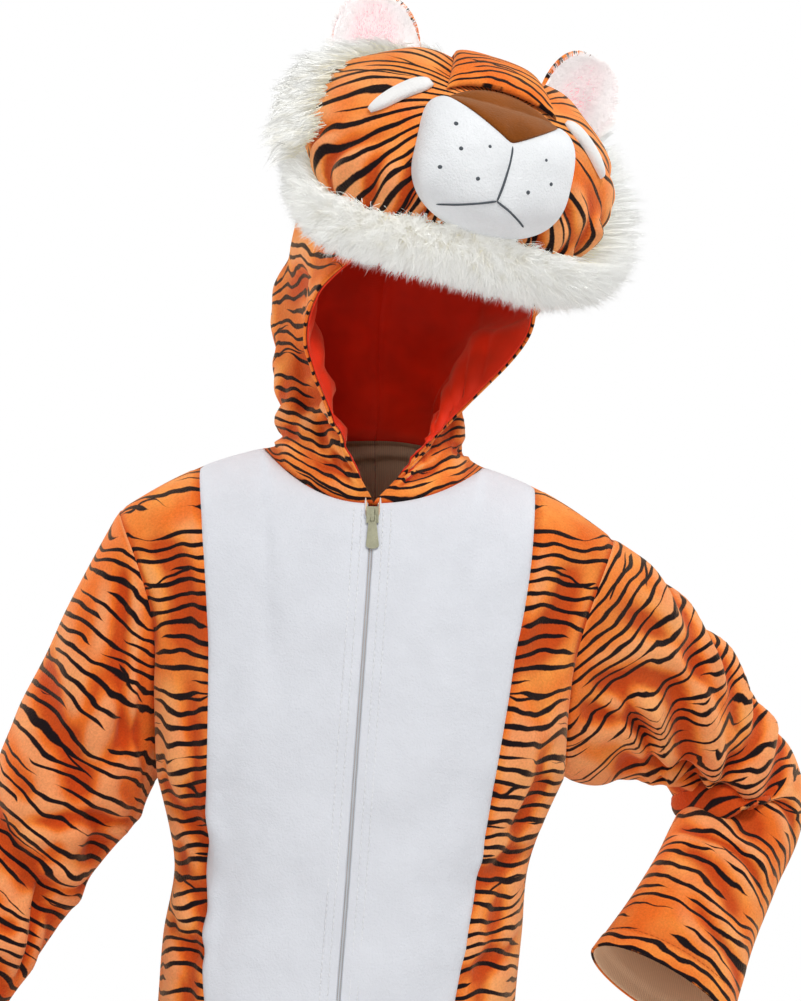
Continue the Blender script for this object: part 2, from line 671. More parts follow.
def neck_share(hand):
    """Share of the way to the shoulder's tip at which the neckline meets the shoulder seam."""
    return abs(SHOULDERS[hand].neck_x / SHOULDERS[hand].tip_x)


def toward_seam(start, cells):
    """Side values up to the side seam, closer together near it."""
    return 1 - (1 - start) * (1 - shares(cells)[1:]) ** SEAM_CROWDING


def front_sides(hand, levels):
    """Side values of the front's columns on one hand, by row."""
    word = WORDS[hand]
    yoke = float(abs(along(BIBS, word, 0.0) / SHOULDERS[hand].tip_x))
    rows = []
    for level, edge in zip(levels, body_edges(levels)[0 if hand < 0 else 1]):
        z = body_point(hand * 0.7, level, FRONT)[2]
        zip_x = along(BIBS, "zip", z)
        bib = float((along(BIBS, word, z) - zip_x) / (edge - zip_x))
        corner = neck_share(hand) / yoke * bib
        inner = corner * shares(NECK_FRONT_CELLS)
        inner[0] = float(zip_slot(body_point(0.0, level, FRONT)[2])) / abs(edge - zip_x)
        middle = np.linspace(corner, bib, SHOULDER_CELLS + 1)[1:]
        rows.append(np.concatenate([inner, middle, toward_seam(bib, SIDE_CELLS)]) * hand)
    return np.array(rows)


def back_sides(hand):
    """Side values of the back's columns on one hand."""
    neck = neck_share(hand)
    inner = np.linspace(0, neck, NECK_BACK_CELLS + 1)
    return np.concatenate([inner, toward_seam(neck, BACK_SIDE_CELLS)]) * hand


def armhole_inward(hand, level, points):
    """The way the cloth's thickness goes at the armhole seam."""
    middle = stack(points[..., 0], 0.0, (ARMPIT_Z + SHOULDERS[hand].tip_z) / 2)
    toward = unit(middle - points)
    toward[..., 0] += -hand * np.cos(clamp(level) * pi / 2) ** 2
    return unit(toward)


def neck_inward(points):
    """The way the cloth's thickness goes at the neck seam."""
    flat = stack(points[..., 0] / 0.080 ** 2, points[..., 1] / 0.066 ** 2, 0.0)
    ahead = ease(0.5 - points[..., 1] / 0.10)
    drop = NECK_DROP_BACK + (NECK_DROP_FRONT - NECK_DROP_BACK) * ahead
    return unit(-unit(flat) - stack(0.0, 0.0, drop))


def body_grid(hand, face):
    """Points and thickness directions of half the front or back."""
    levels = body_levels()
    columns = front_sides(hand, levels) if face < 0 else np.tile(back_sides(hand), (len(levels), 1))
    points = body_point(columns, levels[:, None], face)
    middle = stack(along(BIBS, "zip", points[..., 2]), 0.0, np.minimum(points[..., 2], YOKE_MIDDLE_Z))
    depth = trough(BODY_CREASES[face], columns, levels[:, None], *BODY_SPAN, lips=LIPS)
    depth = depth * sizes().crease * ease((1 - np.abs(columns)) / BODY_FADE)
    depth = depth * ease((1 - np.abs(levels[:, None])) / BODY_FADE)
    points = points - grid_normals(points, middle) * depth[..., None]
    inward = -grid_normals(points, middle)
    inward[:, 0, 0] = 0.0
    inward = unit(inward)
    inward[levels < 0, -1] = (-hand, 0, 0)
    yoke = levels >= 0
    inward[yoke, -1] = armhole_inward(hand, levels[yoke], points[yoke, -1])
    neck_cells = NECK_FRONT_CELLS if face < 0 else NECK_BACK_CELLS
    inward[-1, :neck_cells + 1] = neck_inward(points[-1, :neck_cells + 1])
    inward[-1, neck_cells + 1:] = (0, 0, -1)
    points[:, -1, 1] += face * SEAM / 2
    points[-1, neck_cells:, 1] = face * SEAM / 2
    if face > 0:
        points[:, 0, 0] += hand * SEAM / 2
    return points, inward


def part_columns(points, inward, first, last, gap_first, gap_last):
    """Cut a panel out of a grid, held back by half a seam at each cut."""
    piece = points[:, first:last + 1].copy()
    if gap_first:
        piece[:, 0] += unit(piece[:, 1] - piece[:, 0]) * SEAM / 2
    if gap_last:
        piece[:, -1] += unit(piece[:, -2] - piece[:, -1]) * SEAM / 2
    return piece, inward[:, first:last + 1]


def armhole_loop(hand):
    """The armhole seam as a closed ring: armpit, up the front, shoulder tip, down the back."""
    levels = shares(YOKE_ROWS)
    front, back = (body_point(float(hand), levels, face) for face in (FRONT, BACK))
    loop = np.concatenate([front, back[-2:0:-1]])
    inward = armhole_inward(hand, np.concatenate([levels, levels[-2:0:-1]]), loop)
    tangent = unit(np.roll(loop, -1, axis=0) - np.roll(loop, 1, axis=0))
    away = unit(np.cross(tangent, inward))
    away *= np.sign(away[:, :1] * hand)
    return loop + away * SEAM, inward


def path_frames(arm, share, hand):
    """Middle, outer side, front, half sizes and whole length of a sleeve."""
    run = run_along(np.array([row[:3] for row in arm]))
    rows = table("share x y z across deep", *((at / run[-1], *row) for at, row in zip(run, arm)))
    x, y, z, across, deep = (along(rows, name, share) for name in ("x", "y", "z", "across", "deep"))
    centre = stack(x, y, z)
    tangent = unit(np.gradient(centre, axis=0))
    outer = unit(np.cross((0.0, -1.0, 0.0), tangent) * hand)
    front = unit(np.cross(outer, tangent) * -hand)
    front *= np.sign(-front[:, 1:2])
    return centre, outer, front, across, deep, run[-1]


def leg_top(hand):
    """A leg's top ring, its thickness directions, and its counts on the body and the front."""
    front, back = body_grid(hand, FRONT), body_grid(hand, BACK)
    front_row, back_row = front[0][0].copy(), back[0][0].copy()
    middle_x = along(BIBS, "zip", HIP_Z) + hand * SEAM / 2
    front_row[0, 0] = back_row[0, 0] = middle_x
    reach = np.linspace(1, -1, CROTCH_CELLS + 1)[1:-1]
    crotch_y = np.where(reach > 0, back_row[0, 1] * reach, -front_row[0, 1] * reach)
    crotch = stack(middle_x, crotch_y, HIP_Z - CROTCH_DROP * (1 - reach ** 2))
    outer = np.concatenate([front_row, back_row[::-1]])
    outer_in = np.concatenate([front[1][0], back[1][0, ::-1]])
    outer_in[:, 2] = 0
    crotch_in = unit(stack(0.0, -reach, np.sqrt(1 - reach ** 2)))
    inward = unit(np.concatenate([outer_in, crotch_in]))
    return np.concatenate([outer - (0, 0, SEAM), crotch]), inward, len(outer), len(front_row)


def leg_grids(hand):
    """Points and thickness directions of the front and back of one leg."""
    top, top_in, outer_count, front_count = leg_top(hand)
    run = run_along(top[:outer_count, :2])
    outer_angles = LEG_CORNER + run / run[-1] * (2 * pi - 2 * LEG_CORNER)
    inner_angles = np.linspace(-LEG_CORNER, LEG_CORNER, CROTCH_CELLS + 1)[1:-1]
    angle = np.concatenate([outer_angles, inner_angles])
    share = shares(LEG_ROWS) ** 0.9
    z = HIP_Z + (LEGS[-1].z - HIP_Z) * share
    offset, half, deep, mid_y = (along(LEGS[::-1], name, z) for name in ("offset", "across", "deep", "y"))
    middle = LEGS_MIDDLE_X + hand * offset
    below = stack(middle[:, None] - hand * half[:, None] * np.cos(angle),
                  mid_y[:, None] - deep[:, None] * np.sin(angle), z[:, None])
    carried = top[None] + np.zeros((len(z), 1, 3))
    carried[..., 2] = z[:, None] - (HIP_Z - top[:, 2]) * (1 - clamp(share * 2.2)[:, None])
    early = ease(clamp((z - HIP_Z) / (LEGS[0].z - HIP_Z)) * 0.75)
    mixed = np.maximum(early, ease((share - 0.05) / 0.30))[:, None, None]
    points = carried * (1 - mixed) + below * mixed
    points[0] = top
    centre = stack(middle, mid_y, z)[:, None]
    inward = -grid_normals(points, centre, wrap=True)
    depth = trough(LEG_CREASES[hand], (angle / (2 * pi))[None] % 1.0, share[:, None],
                   LEG_GIRTH, LEG_LENGTH, True, LIPS)
    depth = depth * sizes().crease * (ease(share / 0.06) * ease((1 - share) / 0.03))[:, None]
    turned = np.abs((angle + pi) % (2 * pi) - pi)
    by_corner = 1 - ease(np.abs(turned - LEG_CORNER) / CORNER_FADE)
    depth = depth * (1 - by_corner * (1 - ease(share / CORNER_SHARE))[:, None])
    points = points + inward * depth[..., None]
    inward = -grid_normals(points, centre, wrap=True)
    inward[0] = top_in
    seam_at = front_count - 1
    inseam_at = outer_count + (CROTCH_CELLS - 1) // 2
    count = len(top)
    pair = np.s_[1:, seam_at:seam_at + 2]
    inward[pair] = unit(inward[pair].sum(axis=1, keepdims=True))
    points[pair] = points[pair].mean(axis=1, keepdims=True) + ((0, -SEAM / 2, 0), (0, SEAM / 2, 0))
    front_order = [(inseam_at + i) % count for i in range((seam_at - inseam_at) % count + 1)]
    back_order = list(range(seam_at + 1, inseam_at + 1))
    grids = {}
    for part, order, spot, near in (("front", front_order, 0, 1), ("back", back_order, -1, -2)):
        piece = points[:, order].copy()
        piece[:, spot] += unit(points[:, order[near]] - points[:, inseam_at]) * SEAM / 2
        grids[part] = piece, inward[:, order]
    return grids


def sleeve_grid(hand):
    """Points and thickness directions of a sleeve, and the distance along it."""
    loop, loop_in = armhole_loop(hand)
    share = shares(SLEEVE_ROWS)
    centre, outer, front, across, deep, length = path_frames(ARMS[hand], share, hand)
    around = np.arange(len(loop)) / len(loop)
    angle = around * 2 * pi
    below = (centre[:, None] - outer[:, None] * (across[:, None] * np.cos(angle))[..., None]
             + front[:, None] * (deep[:, None] * np.sin(angle))[..., None])
    carried = loop[None] + (centre - centre[0])[:, None]
    blend = ease(share / ARM_BLEND)[:, None, None]
    points = carried * (1 - blend) + below * blend
    inward = -grid_normals(points, centre[:, None], wrap=True)
    place = around[None], share[:, None], SLEEVE_GIRTH, length, True
    depth = trough(SLEEVE_FOLDS[hand], *place) * ease(share / 0.12)[:, None]
    fine = trough(SLEEVE_CREASES[hand], *place, LIPS) * sizes().crease
    points = points + inward * (depth + fine * ease(share / 0.04)[:, None])[..., None]
    inward = -grid_normals(points, centre[:, None], wrap=True)
    inward[0] = loop_in
    axis = unit(np.gradient(centre, axis=0))[:, None]
    lengthwise = share[:, None] * length + np.sum((points - centre[:, None]) * axis, axis=-1)
    return points, inward, lengthwise


def neck_edge(share, hand, face):
    """Points on the neck seam."""
    return body_point(hand * np.asarray(share) * neck_share(hand), 1.0, face)


def hood_arch(climb):
    """Shares of the height and half width along an arch of the hood."""
    over = clamp((climb - 0.5) / 0.5) * pi / 2
    rise = np.where(climb < 0.5, climb / 0.5 * HOOD_SIDE, HOOD_SIDE + (1 - HOOD_SIDE) * np.sin(over))
    return rise, np.where(climb < 1, np.cos(over) ** HOOD_CORNER, 0.0)


def plain_arch(climb, turn, hand):
    """An arch of the hood from the neck seam to the crown, in the head's frame."""
    start = unhead(neck_edge(turn, hand, FRONT))
    crown_y, crown_z, half, back = (along(HOODS, name, turn) for name in HOODS[0]._fields[1:])
    rise, width = hood_arch(climb)
    near = np.abs(start[..., 0])
    below = ease((HOOD_EDGE_RISE[0] - rise) / HOOD_EDGE_RISE[1])
    half = half + HOOD_EDGE_OUT[hand] * ease(1 - turn / HOOD_EDGE_TURN) * below
    low = clamp(1 - rise / HOOD_FLARES[hand]) ** HOOD_FLARE_CURVE
    x = hand * (half * width - (half - near) * low) + (start[..., 0] - hand * near) * low
    y = start[..., 1] + (crown_y - start[..., 1]) * rise + back * np.sin(pi * rise)
    z = start[..., 2] + (crown_z - start[..., 2]) * rise
    return stack(x, y, z)


def dome_point(direction, out=0.0):
    """The hood's rounded crown along directions from its middle, moved out."""
    radius = around_middle(DOME_HALF, DOME_POWER, direction) + out
    return DOME_MIDDLE + direction * radius[..., None]


def hood_point(climb, turn, hand):
    """The hood's outer surface. climb runs from 0 at the neck to 1 at the middle of the crown,
    and turn from 0 at the face opening to 1 at the nape."""
    climb, turn = np.broadcast_arrays(np.asarray(climb, float), np.asarray(turn, float))
    points = plain_arch(climb, turn, hand)
    dome = dome_point(unit(points - DOME_MIDDLE))
    share = ease((points[..., 2] - DOME_FROM_Z) / (DOME_FULL_Z - DOME_FROM_Z))[..., None]
    points = head(points * (1 - share) + dome * share)
    last = ease((turn - 0.72) / 0.28)[..., None]
    nape = head(plain_arch(climb, np.ones_like(turn), hand))
    return points + (neck_edge(1 - climb, hand, 1) - nape) * last


def hood_grid(hand):
    """Points and thickness directions of half the hood."""
    climb = shares(HOOD_CLIMB_CELLS)[None]
    turn = shares(HOOD_TURN_CELLS)[:, None]
    points = hood_point(climb, turn, hand)
    middle = head((0.0, 0.0, 0.13))
    fine = trough(HOOD_CREASES[hand], climb, turn, *HOOD_SPAN, lips=LIPS)
    depth = trough(HOOD_FOLDS[hand], climb, turn, *HOOD_SPAN)
    depth = depth + fine * sizes().crease * ease((1 - climb) / 0.1)
    depth = depth * ease(climb / 0.08) * ease((1 - turn) / 0.08)
    points = points - grid_normals(points, middle) * depth[..., None]
    own = unhead(-grid_normals(points, middle))
    own[:, -1, 0] = 0.0
    inward = head(unit(own))
    inward[-1] = neck_inward(points[-1])
    inward[:, 0] = neck_inward(points[:, 0])
    for edge, first in ((np.s_[:, 0], 0), (np.s_[-1], 1)):
        up = unit(np.cross(np.gradient(points[edge], axis=0), inward[edge]))
        up *= np.sign(up[:, 2:3])
        points[edge][first:] += up[first:] * SEAM
    points[:, -1] += head((hand * SEAM / 2, 0, 0))
    points[0, 0] += head((hand * SEAM / 2, 0, 0))
    return points, inward


def head_surface(through, out=0.0):
    """Points of the padded head's surface under points, moved out."""
    direction = unit(np.asarray(through) - HEAD_MIDDLE)
    radius = around_middle(HEAD_HALF, HEAD_POWER, direction)
    points = HEAD_MIDDLE + direction * radius[..., None]
    mirrored = np.concatenate([np.abs(points[..., :1]), points[..., 1:]], axis=-1)
    apart = norm(mirrored - np.array(BROW), axis=-1)
    brow = BROW_RAISED * np.exp(-(apart / BROW_HALF) ** 2)
    return points + direction * (brow + out)[..., None]


def head_front(x, z):
    """Where pieces sewn on the padded head's front sit, at places on it."""
    return head_surface(stack(x, front_y(x, z), z), SEAT)


def front_y(x, z):
    """How far forward the padded head's front stands at a place on it."""
    wide = np.abs((x - HEAD_MIDDLE[0]) / HEAD_HALF[0]) ** HEAD_POWER
    tall = np.abs((z - HEAD_MIDDLE[2]) / HEAD_HALF[2]) ** HEAD_POWER
    return -HEAD_HALF[1] * clamp(1 - wide - tall) ** (1 / HEAD_POWER)


def face_direction(angle, spread):
    """Directions from the dome's middle: spread goes from 0 in the middle of the face to 1."""
    wide, tall = FACE_SPREADS
    limit = (np.abs(np.cos(angle) / wide) ** FACE_CORNER
             + np.abs(np.sin(angle) / tall) ** FACE_CORNER) ** (-1 / FACE_CORNER)
    bend = spread * limit
    ahead = np.array((0.0, -cos(FACE_TILT), sin(FACE_TILT)))
    upward = np.array((0.0, sin(FACE_TILT), cos(FACE_TILT)))
    side = np.cos(angle)[..., None] * np.array((1.0, 0.0, 0.0)) + np.sin(angle)[..., None] * upward
    return np.cos(bend)[..., None] * ahead + np.sin(bend)[..., None] * side


def disc(count):
    """A square grid drawn as a round disc, as x and y shares."""
    p, q = np.meshgrid(np.linspace(-1, 1, count), np.linspace(-1, 1, count))
    return p * np.sqrt(1 - q * q / 2), q * np.sqrt(1 - p * p / 2)


def muzzle_out(x, z):
    """How far the muzzle stands out of the head at a place on it."""
    up = z - MUZZLE_MIDDLE_Z
    tall = np.where(up > 0, MUZZLE_UP, MUZZLE_DOWN)
    power = np.where(up > 0, *MUZZLE_CORNERS)
    radius = (np.abs(x / MUZZLE_HALF) ** power + np.abs(up / tall) ** power) ** (1 / power)
    radius = clamp(radius)
    groove = GROOVE_DEEP * np.exp(-(x / GROOVE_HALF) ** 2) * clamp(1 - radius) ** 0.5
    return EDGE_THICK + MUZZLE_DEPTH * np.sqrt(1 - radius ** 2.6) - groove


def zip_levels(low_z, high_z):
    """Levels of the body's rows between two heights on the zip line."""
    level = np.linspace(-1, 1, 400)
    ends = np.interp((low_z, high_z), body_point(0.0, level, FRONT)[:, 2], level)
    rows = body_levels()
    inside = rows[(rows > ends[0] + 0.02) & (rows < ends[1] - 0.02)]
    return np.concatenate([ends[:1], inside, ends[1:]])


def zip_line(offsets, levels, depth):
    """Points at a depth under the bib along the zip, at offsets in x."""
    left, right, _, _ = body_edges(levels)
    zip_x = along(BIBS, "zip", body_point(0.0, levels, FRONT)[:, 2])
    edges = (np.where(offset < 0, zip_x - left, right - zip_x) for offset in offsets)
    points = np.stack([body_point(offset / edge, levels, FRONT) for offset, edge in zip(offsets, edges)],
                      axis=1)
    middle = stack(zip_x, 0.0, np.minimum(points[:, 0, 2], YOKE_MIDDLE_Z))[:, None]
    return points - grid_normals(points, middle) * depth


def arc_grids(points):
    """Distances along the columns and along the rows of a grid, in metres."""
    across = norm(np.diff(points, axis=1), axis=-1)
    down = norm(np.diff(points, axis=0), axis=-1)
    u = np.concatenate([np.zeros((len(points), 1)), np.cumsum(across, axis=1)], axis=1)
    v = np.concatenate([np.zeros((1, points.shape[1])), np.cumsum(down, axis=0)], axis=0)
    return u, v


def seam_dip(points, edges):
    """How far the cloth sinks into its seams, at the named sides of the grid."""
    u, v = arc_grids(points)
    away = {"first": u, "last": u[:, -1:] - u, "top": v, "bottom": v[-1:] - v}
    total = np.zeros(points.shape[:2])
    for edge in edges:
        total = np.maximum(total, SEAM_DIP * np.exp(-(away[edge] / SEAM_HALF) ** 2))
    return total


def hem_rise(distance):
    """How far a turned hem stands proud, by the distance from its edge."""
    doubled = HEM_RISE * (1 - ease((distance - HEM_WIDTH) / 0.002))
    return doubled - HEM_DIP * np.exp(-((distance - HEM_WIDTH + 0.0015) / 0.0016) ** 2)


def in_scene(name, data):
    """A new object in the scene."""
    item = bpy.data.objects.new(name, data)
    bpy.context.scene.collection.objects.link(item)
    return item


def new_mesh(name, verts, faces, finishes, uv=None):
    """One closed smooth mesh with its faces pointing out, that rides on the garment."""
    mesh = bpy.data.meshes.new(name)
    mesh.from_pydata(np.asarray(verts, float).tolist(), [], faces)
    if uv is not None:
        layer = mesh.uv_layers.new(name="cloth")
        layer.data.foreach_set("uv", np.asarray(uv, np.float32).ravel())
    work = bmesh.new()
    work.from_mesh(mesh)
    bmesh.ops.recalc_face_normals(work, faces=work.faces)
    work.to_mesh(mesh)
    work.free()
    mesh.shade_smooth()
    for finish in finishes if isinstance(finishes, (list, tuple)) else [finishes]:
        mesh.materials.append(finish)
    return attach(in_scene(name, mesh), GARMENT)


def shell(name, outer, inner, finish, uv=None, wrap=False):
    """A closed shell between an outer and an inner grid, with rounded edges. Where wrap joins its
    last column to its first, the grids of uv have one column more."""
    rows, columns = outer.shape[:2]
    count = rows * columns
    spots = np.stack(uv or arc_grids(closed(outer) if wrap else outer), axis=-1)
    r, c = np.meshgrid(np.arange(rows - 1), np.arange(columns if wrap else columns - 1), indexing="ij")
    corners_r = np.stack([r, r, r + 1, r + 1], axis=-1).reshape(-1, 4)
    corners_c = np.stack([c, c + 1, c + 1, c], axis=-1).reshape(-1, 4)
    front = corners_r * columns + corners_c % columns
    place = spots[corners_r, corners_c]
    faces = [front, (front + count)[:, ::-1]]
    places = [place, place[:, ::-1]]
    verts = [outer.reshape(-1, 3), inner.reshape(-1, 3)]
    if wrap:
        loops = [[(row, col) for col in range(columns)] for row in (0, rows - 1)]
    else:
        loops = [[(0, col) for col in range(columns)] + [(row, columns - 1) for row in range(1, rows)]
                 + [(rows - 1, col) for col in range(columns - 2, -1, -1)]
                 + [(row, 0) for row in range(rows - 2, 0, -1)]]
    start = 2 * count
    for loop in loops:
        at_r, at_c = np.array(loop).T
        edge, back = outer[at_r, at_c], inner[at_r, at_c]
        inside_c = at_c if wrap else np.clip(at_c, 1, columns - 2)
        away = unit(edge - outer[np.clip(at_r, 1, rows - 2), inside_c])
        thick = norm(edge - back, axis=-1, keepdims=True)
        verts.append((edge + back) / 2 + away * thick * EDGE_ROUND)
        rim = start + np.arange(len(loop))
        flat = at_r * columns + at_c
        rim_on, flat_on = np.roll(rim, -1), np.roll(flat, -1)
        faces.append(np.stack([flat, flat_on, rim_on, rim], axis=-1))
        faces.append(np.stack([rim, rim_on, count + flat_on, count + flat], axis=-1))
        spot = spots[at_r, at_c]
        spot_on = np.roll(spot, -1, axis=0)
        places += [np.stack([spot, spot_on, spot_on, spot], axis=1)] * 2
        start += len(loop)
    faces = np.concatenate(faces).tolist()
    piece = new_mesh(name, np.concatenate(verts), faces, finish, np.concatenate(places))
    if isinstance(finish, tuple):
        inside = np.zeros(len(faces), np.int32)
        inside[len(front):2 * len(front)] = r.ravel() > (CUFF_SHARE * rows if wrap else 0)
        piece.data.polygons.foreach_set("material_index", inside)
    return piece


def cut_of(points, wrap=False):
    """Flat width, length and area of a panel, measured along its own cloth."""
    full = closed(points) if wrap else points
    u, v = arc_grids(full)
    a, b = full[1:, 1:] - full[:-1, :-1], full[1:, :-1] - full[:-1, 1:]
    area = float(norm(np.cross(a, b), axis=-1).sum() / 2)
    width, length = float(u[:, -1].max()), float(v[-1].max())
    return width, length, min(area, width * length)


def mark_hollows(piece, points, inward, wrap=False):
    """Store how deep the cloth lies at each point: 1 in a fold, -1 on a ridge."""
    soft = points
    near = np.arange(-HOLLOW_CELLS, HOLLOW_CELLS + 1)
    for axis in (0, 1):
        size = points.shape[axis]
        cells = np.arange(size)[:, None] + near
        cells = cells % size if wrap and axis == 1 else np.clip(cells, 0, size - 1)
        soft = np.take(soft, cells, axis=axis).mean(axis=axis + 1)
    depth = np.sum((points - soft) * inward, axis=-1)
    values = np.zeros(len(piece.data.vertices), np.float32)
    values[:depth.size] = np.clip((depth - np.median(depth)) / HOLLOW_DEEP, -1, 1).ravel()
    values[depth.size:2 * depth.size] = 1
    piece.data.attributes.new("hollow", "FLOAT", "POINT").data.foreach_set("value", values)


ALL_EDGES = ("first", "last", "top", "bottom")


def cloth_panel(node, points, inward, finish, edges, uv=None, wrap=False, thick=PLUSH, proud=0.0,
                slot="tiger_plush"):
    """A panel of cloth in place of its node, sunk at its seams."""
    dip = seam_dip(points, edges) - proud
    outer = points + inward * dip[..., None]
    both = finish if slot == "red_lining" else (finish, knitted_backing())
    piece = shell(node + "_cloth", outer, outer + inward * thick, both, uv, wrap)
    mark_hollows(piece, outer, inward, wrap)
    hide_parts(node)
    width, length, area = cut_of(outer, wrap)


def pad(name, node, outer, inner, finish, uv):
    """A stuffed piece in place of its node, from grids in the head's own frame."""
    piece = shell(name, head(outer), head(inner), finish, uv)
    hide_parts(node)
    return piece


def ring_faces(first, rings, sides):
    """Faces of a thread through rings of points, with both its ends."""
    faces = []
    for row in range(rings - 1):
        for side in range(sides):
            a = first + row * sides + side
            b = first + row * sides + (side + 1) % sides
            faces.append((a, b, b + sides, a + sides))
    last = first + (rings - 1) * sides
    return faces + [tuple(range(first, first + sides)), tuple(range(last, last + sides))]


def read_path(at, run, path):
    """Points of a path at distances from its start."""
    return np.stack([np.interp(at, run, path[:, k]) for k in range(3)], axis=-1)


def tube(name, path, radius, finish, sides=6):
    """A thread along a path of points, closed and rounded off at both ends."""
    tangent = unit(np.gradient(path, axis=0))
    side = unit(np.cross(tangent, (0.0, 1.0, 0.0)))
    other = np.cross(tangent, side)
    angle = (np.arange(sides) / sides * 2 * pi)[:, None]
    thick = radius * np.sqrt(np.clip(1 - np.abs(np.linspace(-1, 1, len(path))) ** 12, 0.05, 1))
    ring = side[:, None] * np.cos(angle) + other[:, None] * np.sin(angle)
    rings = path[:, None] + ring * thick[:, None, None]
    return new_mesh(name, rings.reshape(-1, 3), ring_faces(0, len(path), sides), finish)


# A stitch from end to end: shares of its length, width and height
STITCH_SHAPE = np.array(
    ((0.0, 0.35, 0.2), (0.18, 0.9, 0.85), (0.5, 1.0, 1.0), (0.82, 0.9, 0.85), (1.0, 0.35, 0.2)))
STITCH_WIDE = 0.0005
STITCH_HIGH = 0.0004


def stitches(name, path, up, length, gap, finish):
    """A row of stitches along a path, each a short rounded bead of thread."""
    path, up = np.asarray(path, float), np.asarray(up, float)
    run = run_along(path)
    verts, faces = [], []
    for begin in np.arange(0.001, run[-1] - length, length + gap):
        at = begin + STITCH_SHAPE[:, 0] * length
        spot = read_path(at, run, path)
        rise = unit(read_path(at, run, up))
        side = unit(np.cross(unit(np.gradient(spot, axis=0)), rise))
        w = side * STITCH_SHAPE[:, 1:2] * STITCH_WIDE
        h = rise * STITCH_SHAPE[:, 2:] * STITCH_HIGH
        under = spot - rise * STITCH_HIGH * 0.6
        rings = np.stack([spot - w, spot - w * 0.6 + h, spot + w * 0.6 + h, spot + w, under], axis=1)
        faces += ring_faces(len(verts), len(rings), 5)
        verts += rings.reshape(-1, 3).tolist()
    return new_mesh(name, verts, faces, finish)


def strands(name, roots, controls, tips, widths, finish, rng, facing):
    """Fibres as thin tapered blades, each bent from its root past its control to its tip. Their
    shading follows the way the pile as a whole faces."""
    count = len(roots)
    t = shares(2)[None, :, None]
    line = roots[:, None] * (1 - t) ** 2 + 2 * controls[:, None] * t * (1 - t) + tips[:, None] * t * t
    toward = unit(rng.normal(size=(count, 3))) + facing * 0.8
    side = unit(np.cross(unit(np.gradient(line, axis=1)), toward[:, None]))
    side = side * (widths[:, None, None] / 2) * (1 - t ** 1.6)
    pairs = np.stack([line - side, line + side], axis=2)[:, :-1].reshape(count, -1, 3)
    verts = np.concatenate([pairs, line[:, -1:]], axis=1)
    base = np.arange(count)[:, None] * 5
    faces = (base + (0, 1, 3, 2)).tolist() + (base + (2, 3, 4)).tolist()
    mesh = bpy.data.meshes.new(name)
    mesh.from_pydata(verts.reshape(-1, 3).tolist(), [], faces)
    share = np.tile((0.0, 0.0, 0.5, 0.5, 1.0), count)
    luck = np.repeat(rng.random(count), 5)
    layer = mesh.uv_layers.new(name="cloth")
    index = np.zeros(len(mesh.loops), np.int32)
    mesh.loops.foreach_get("vertex_index", index)
    layer.data.foreach_set("uv", np.stack([luck[index], share[index]], axis=-1).astype(np.float32).ravel())
    mesh.shade_smooth()
    own = unit(np.repeat(facing + rng.normal(size=(count, 3)) * 0.22, 5, axis=0))
    mesh.normals_split_custom_set_from_vertices(own.tolist())
    mesh.materials.append(finish)
    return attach(in_scene(name, mesh), GARMENT)


def new_material(name):
    """An empty material, the function that adds nodes to it, and its shader."""
    finish = bpy.data.materials.new(name)
    finish.use_nodes = True
    tree = finish.node_tree
    return finish, partial(add_node, tree), tree.nodes["Principled BSDF"]


def set_shader(shader, **values):
    """Set or link the shader's own sockets; underscores stand for spaces."""
    fill(shader.id_data, shader, ((name.replace("_", " "), value) for name, value in values.items()))


def band_scale(pitch):
    """The wave texture's scale for bands a pitch apart."""
    return 2 * pi / pitch / 20


def tinted(add, code, value, low, high, dark, light):
    """A colour that goes from darker to lighter as a value goes from low to high."""
    depth = add("MapRange", (value, low, high, dark, light))
    return add("VectorMath", {0: linear(code)[:3], "Scale": depth}, operation="SCALE")


def pile_texture(add, fine, coarse):
    """Fine tufts and broad patches of pile in object space, from 0 to 1."""
    place = add("TexCoord").outputs["Object"]
    return [add("TexNoise", {"Vector": place, "Scale": 1 / size, "Detail": detail, "Roughness": rough})
            for size, detail, rough in ((fine, 3.0, 0.6), (coarse, 2.0, 0.5))]


def pile_bump(add, tufts, patches, tuft_height, patch_height):
    """Bump of the pile: heights in metres."""
    low = add("Bump", {"Height": patches, "Strength": 0.8, "Distance": patch_height})
    return add("Bump", {"Height": tufts, "Strength": 0.9, "Distance": tuft_height, "Normal": low})


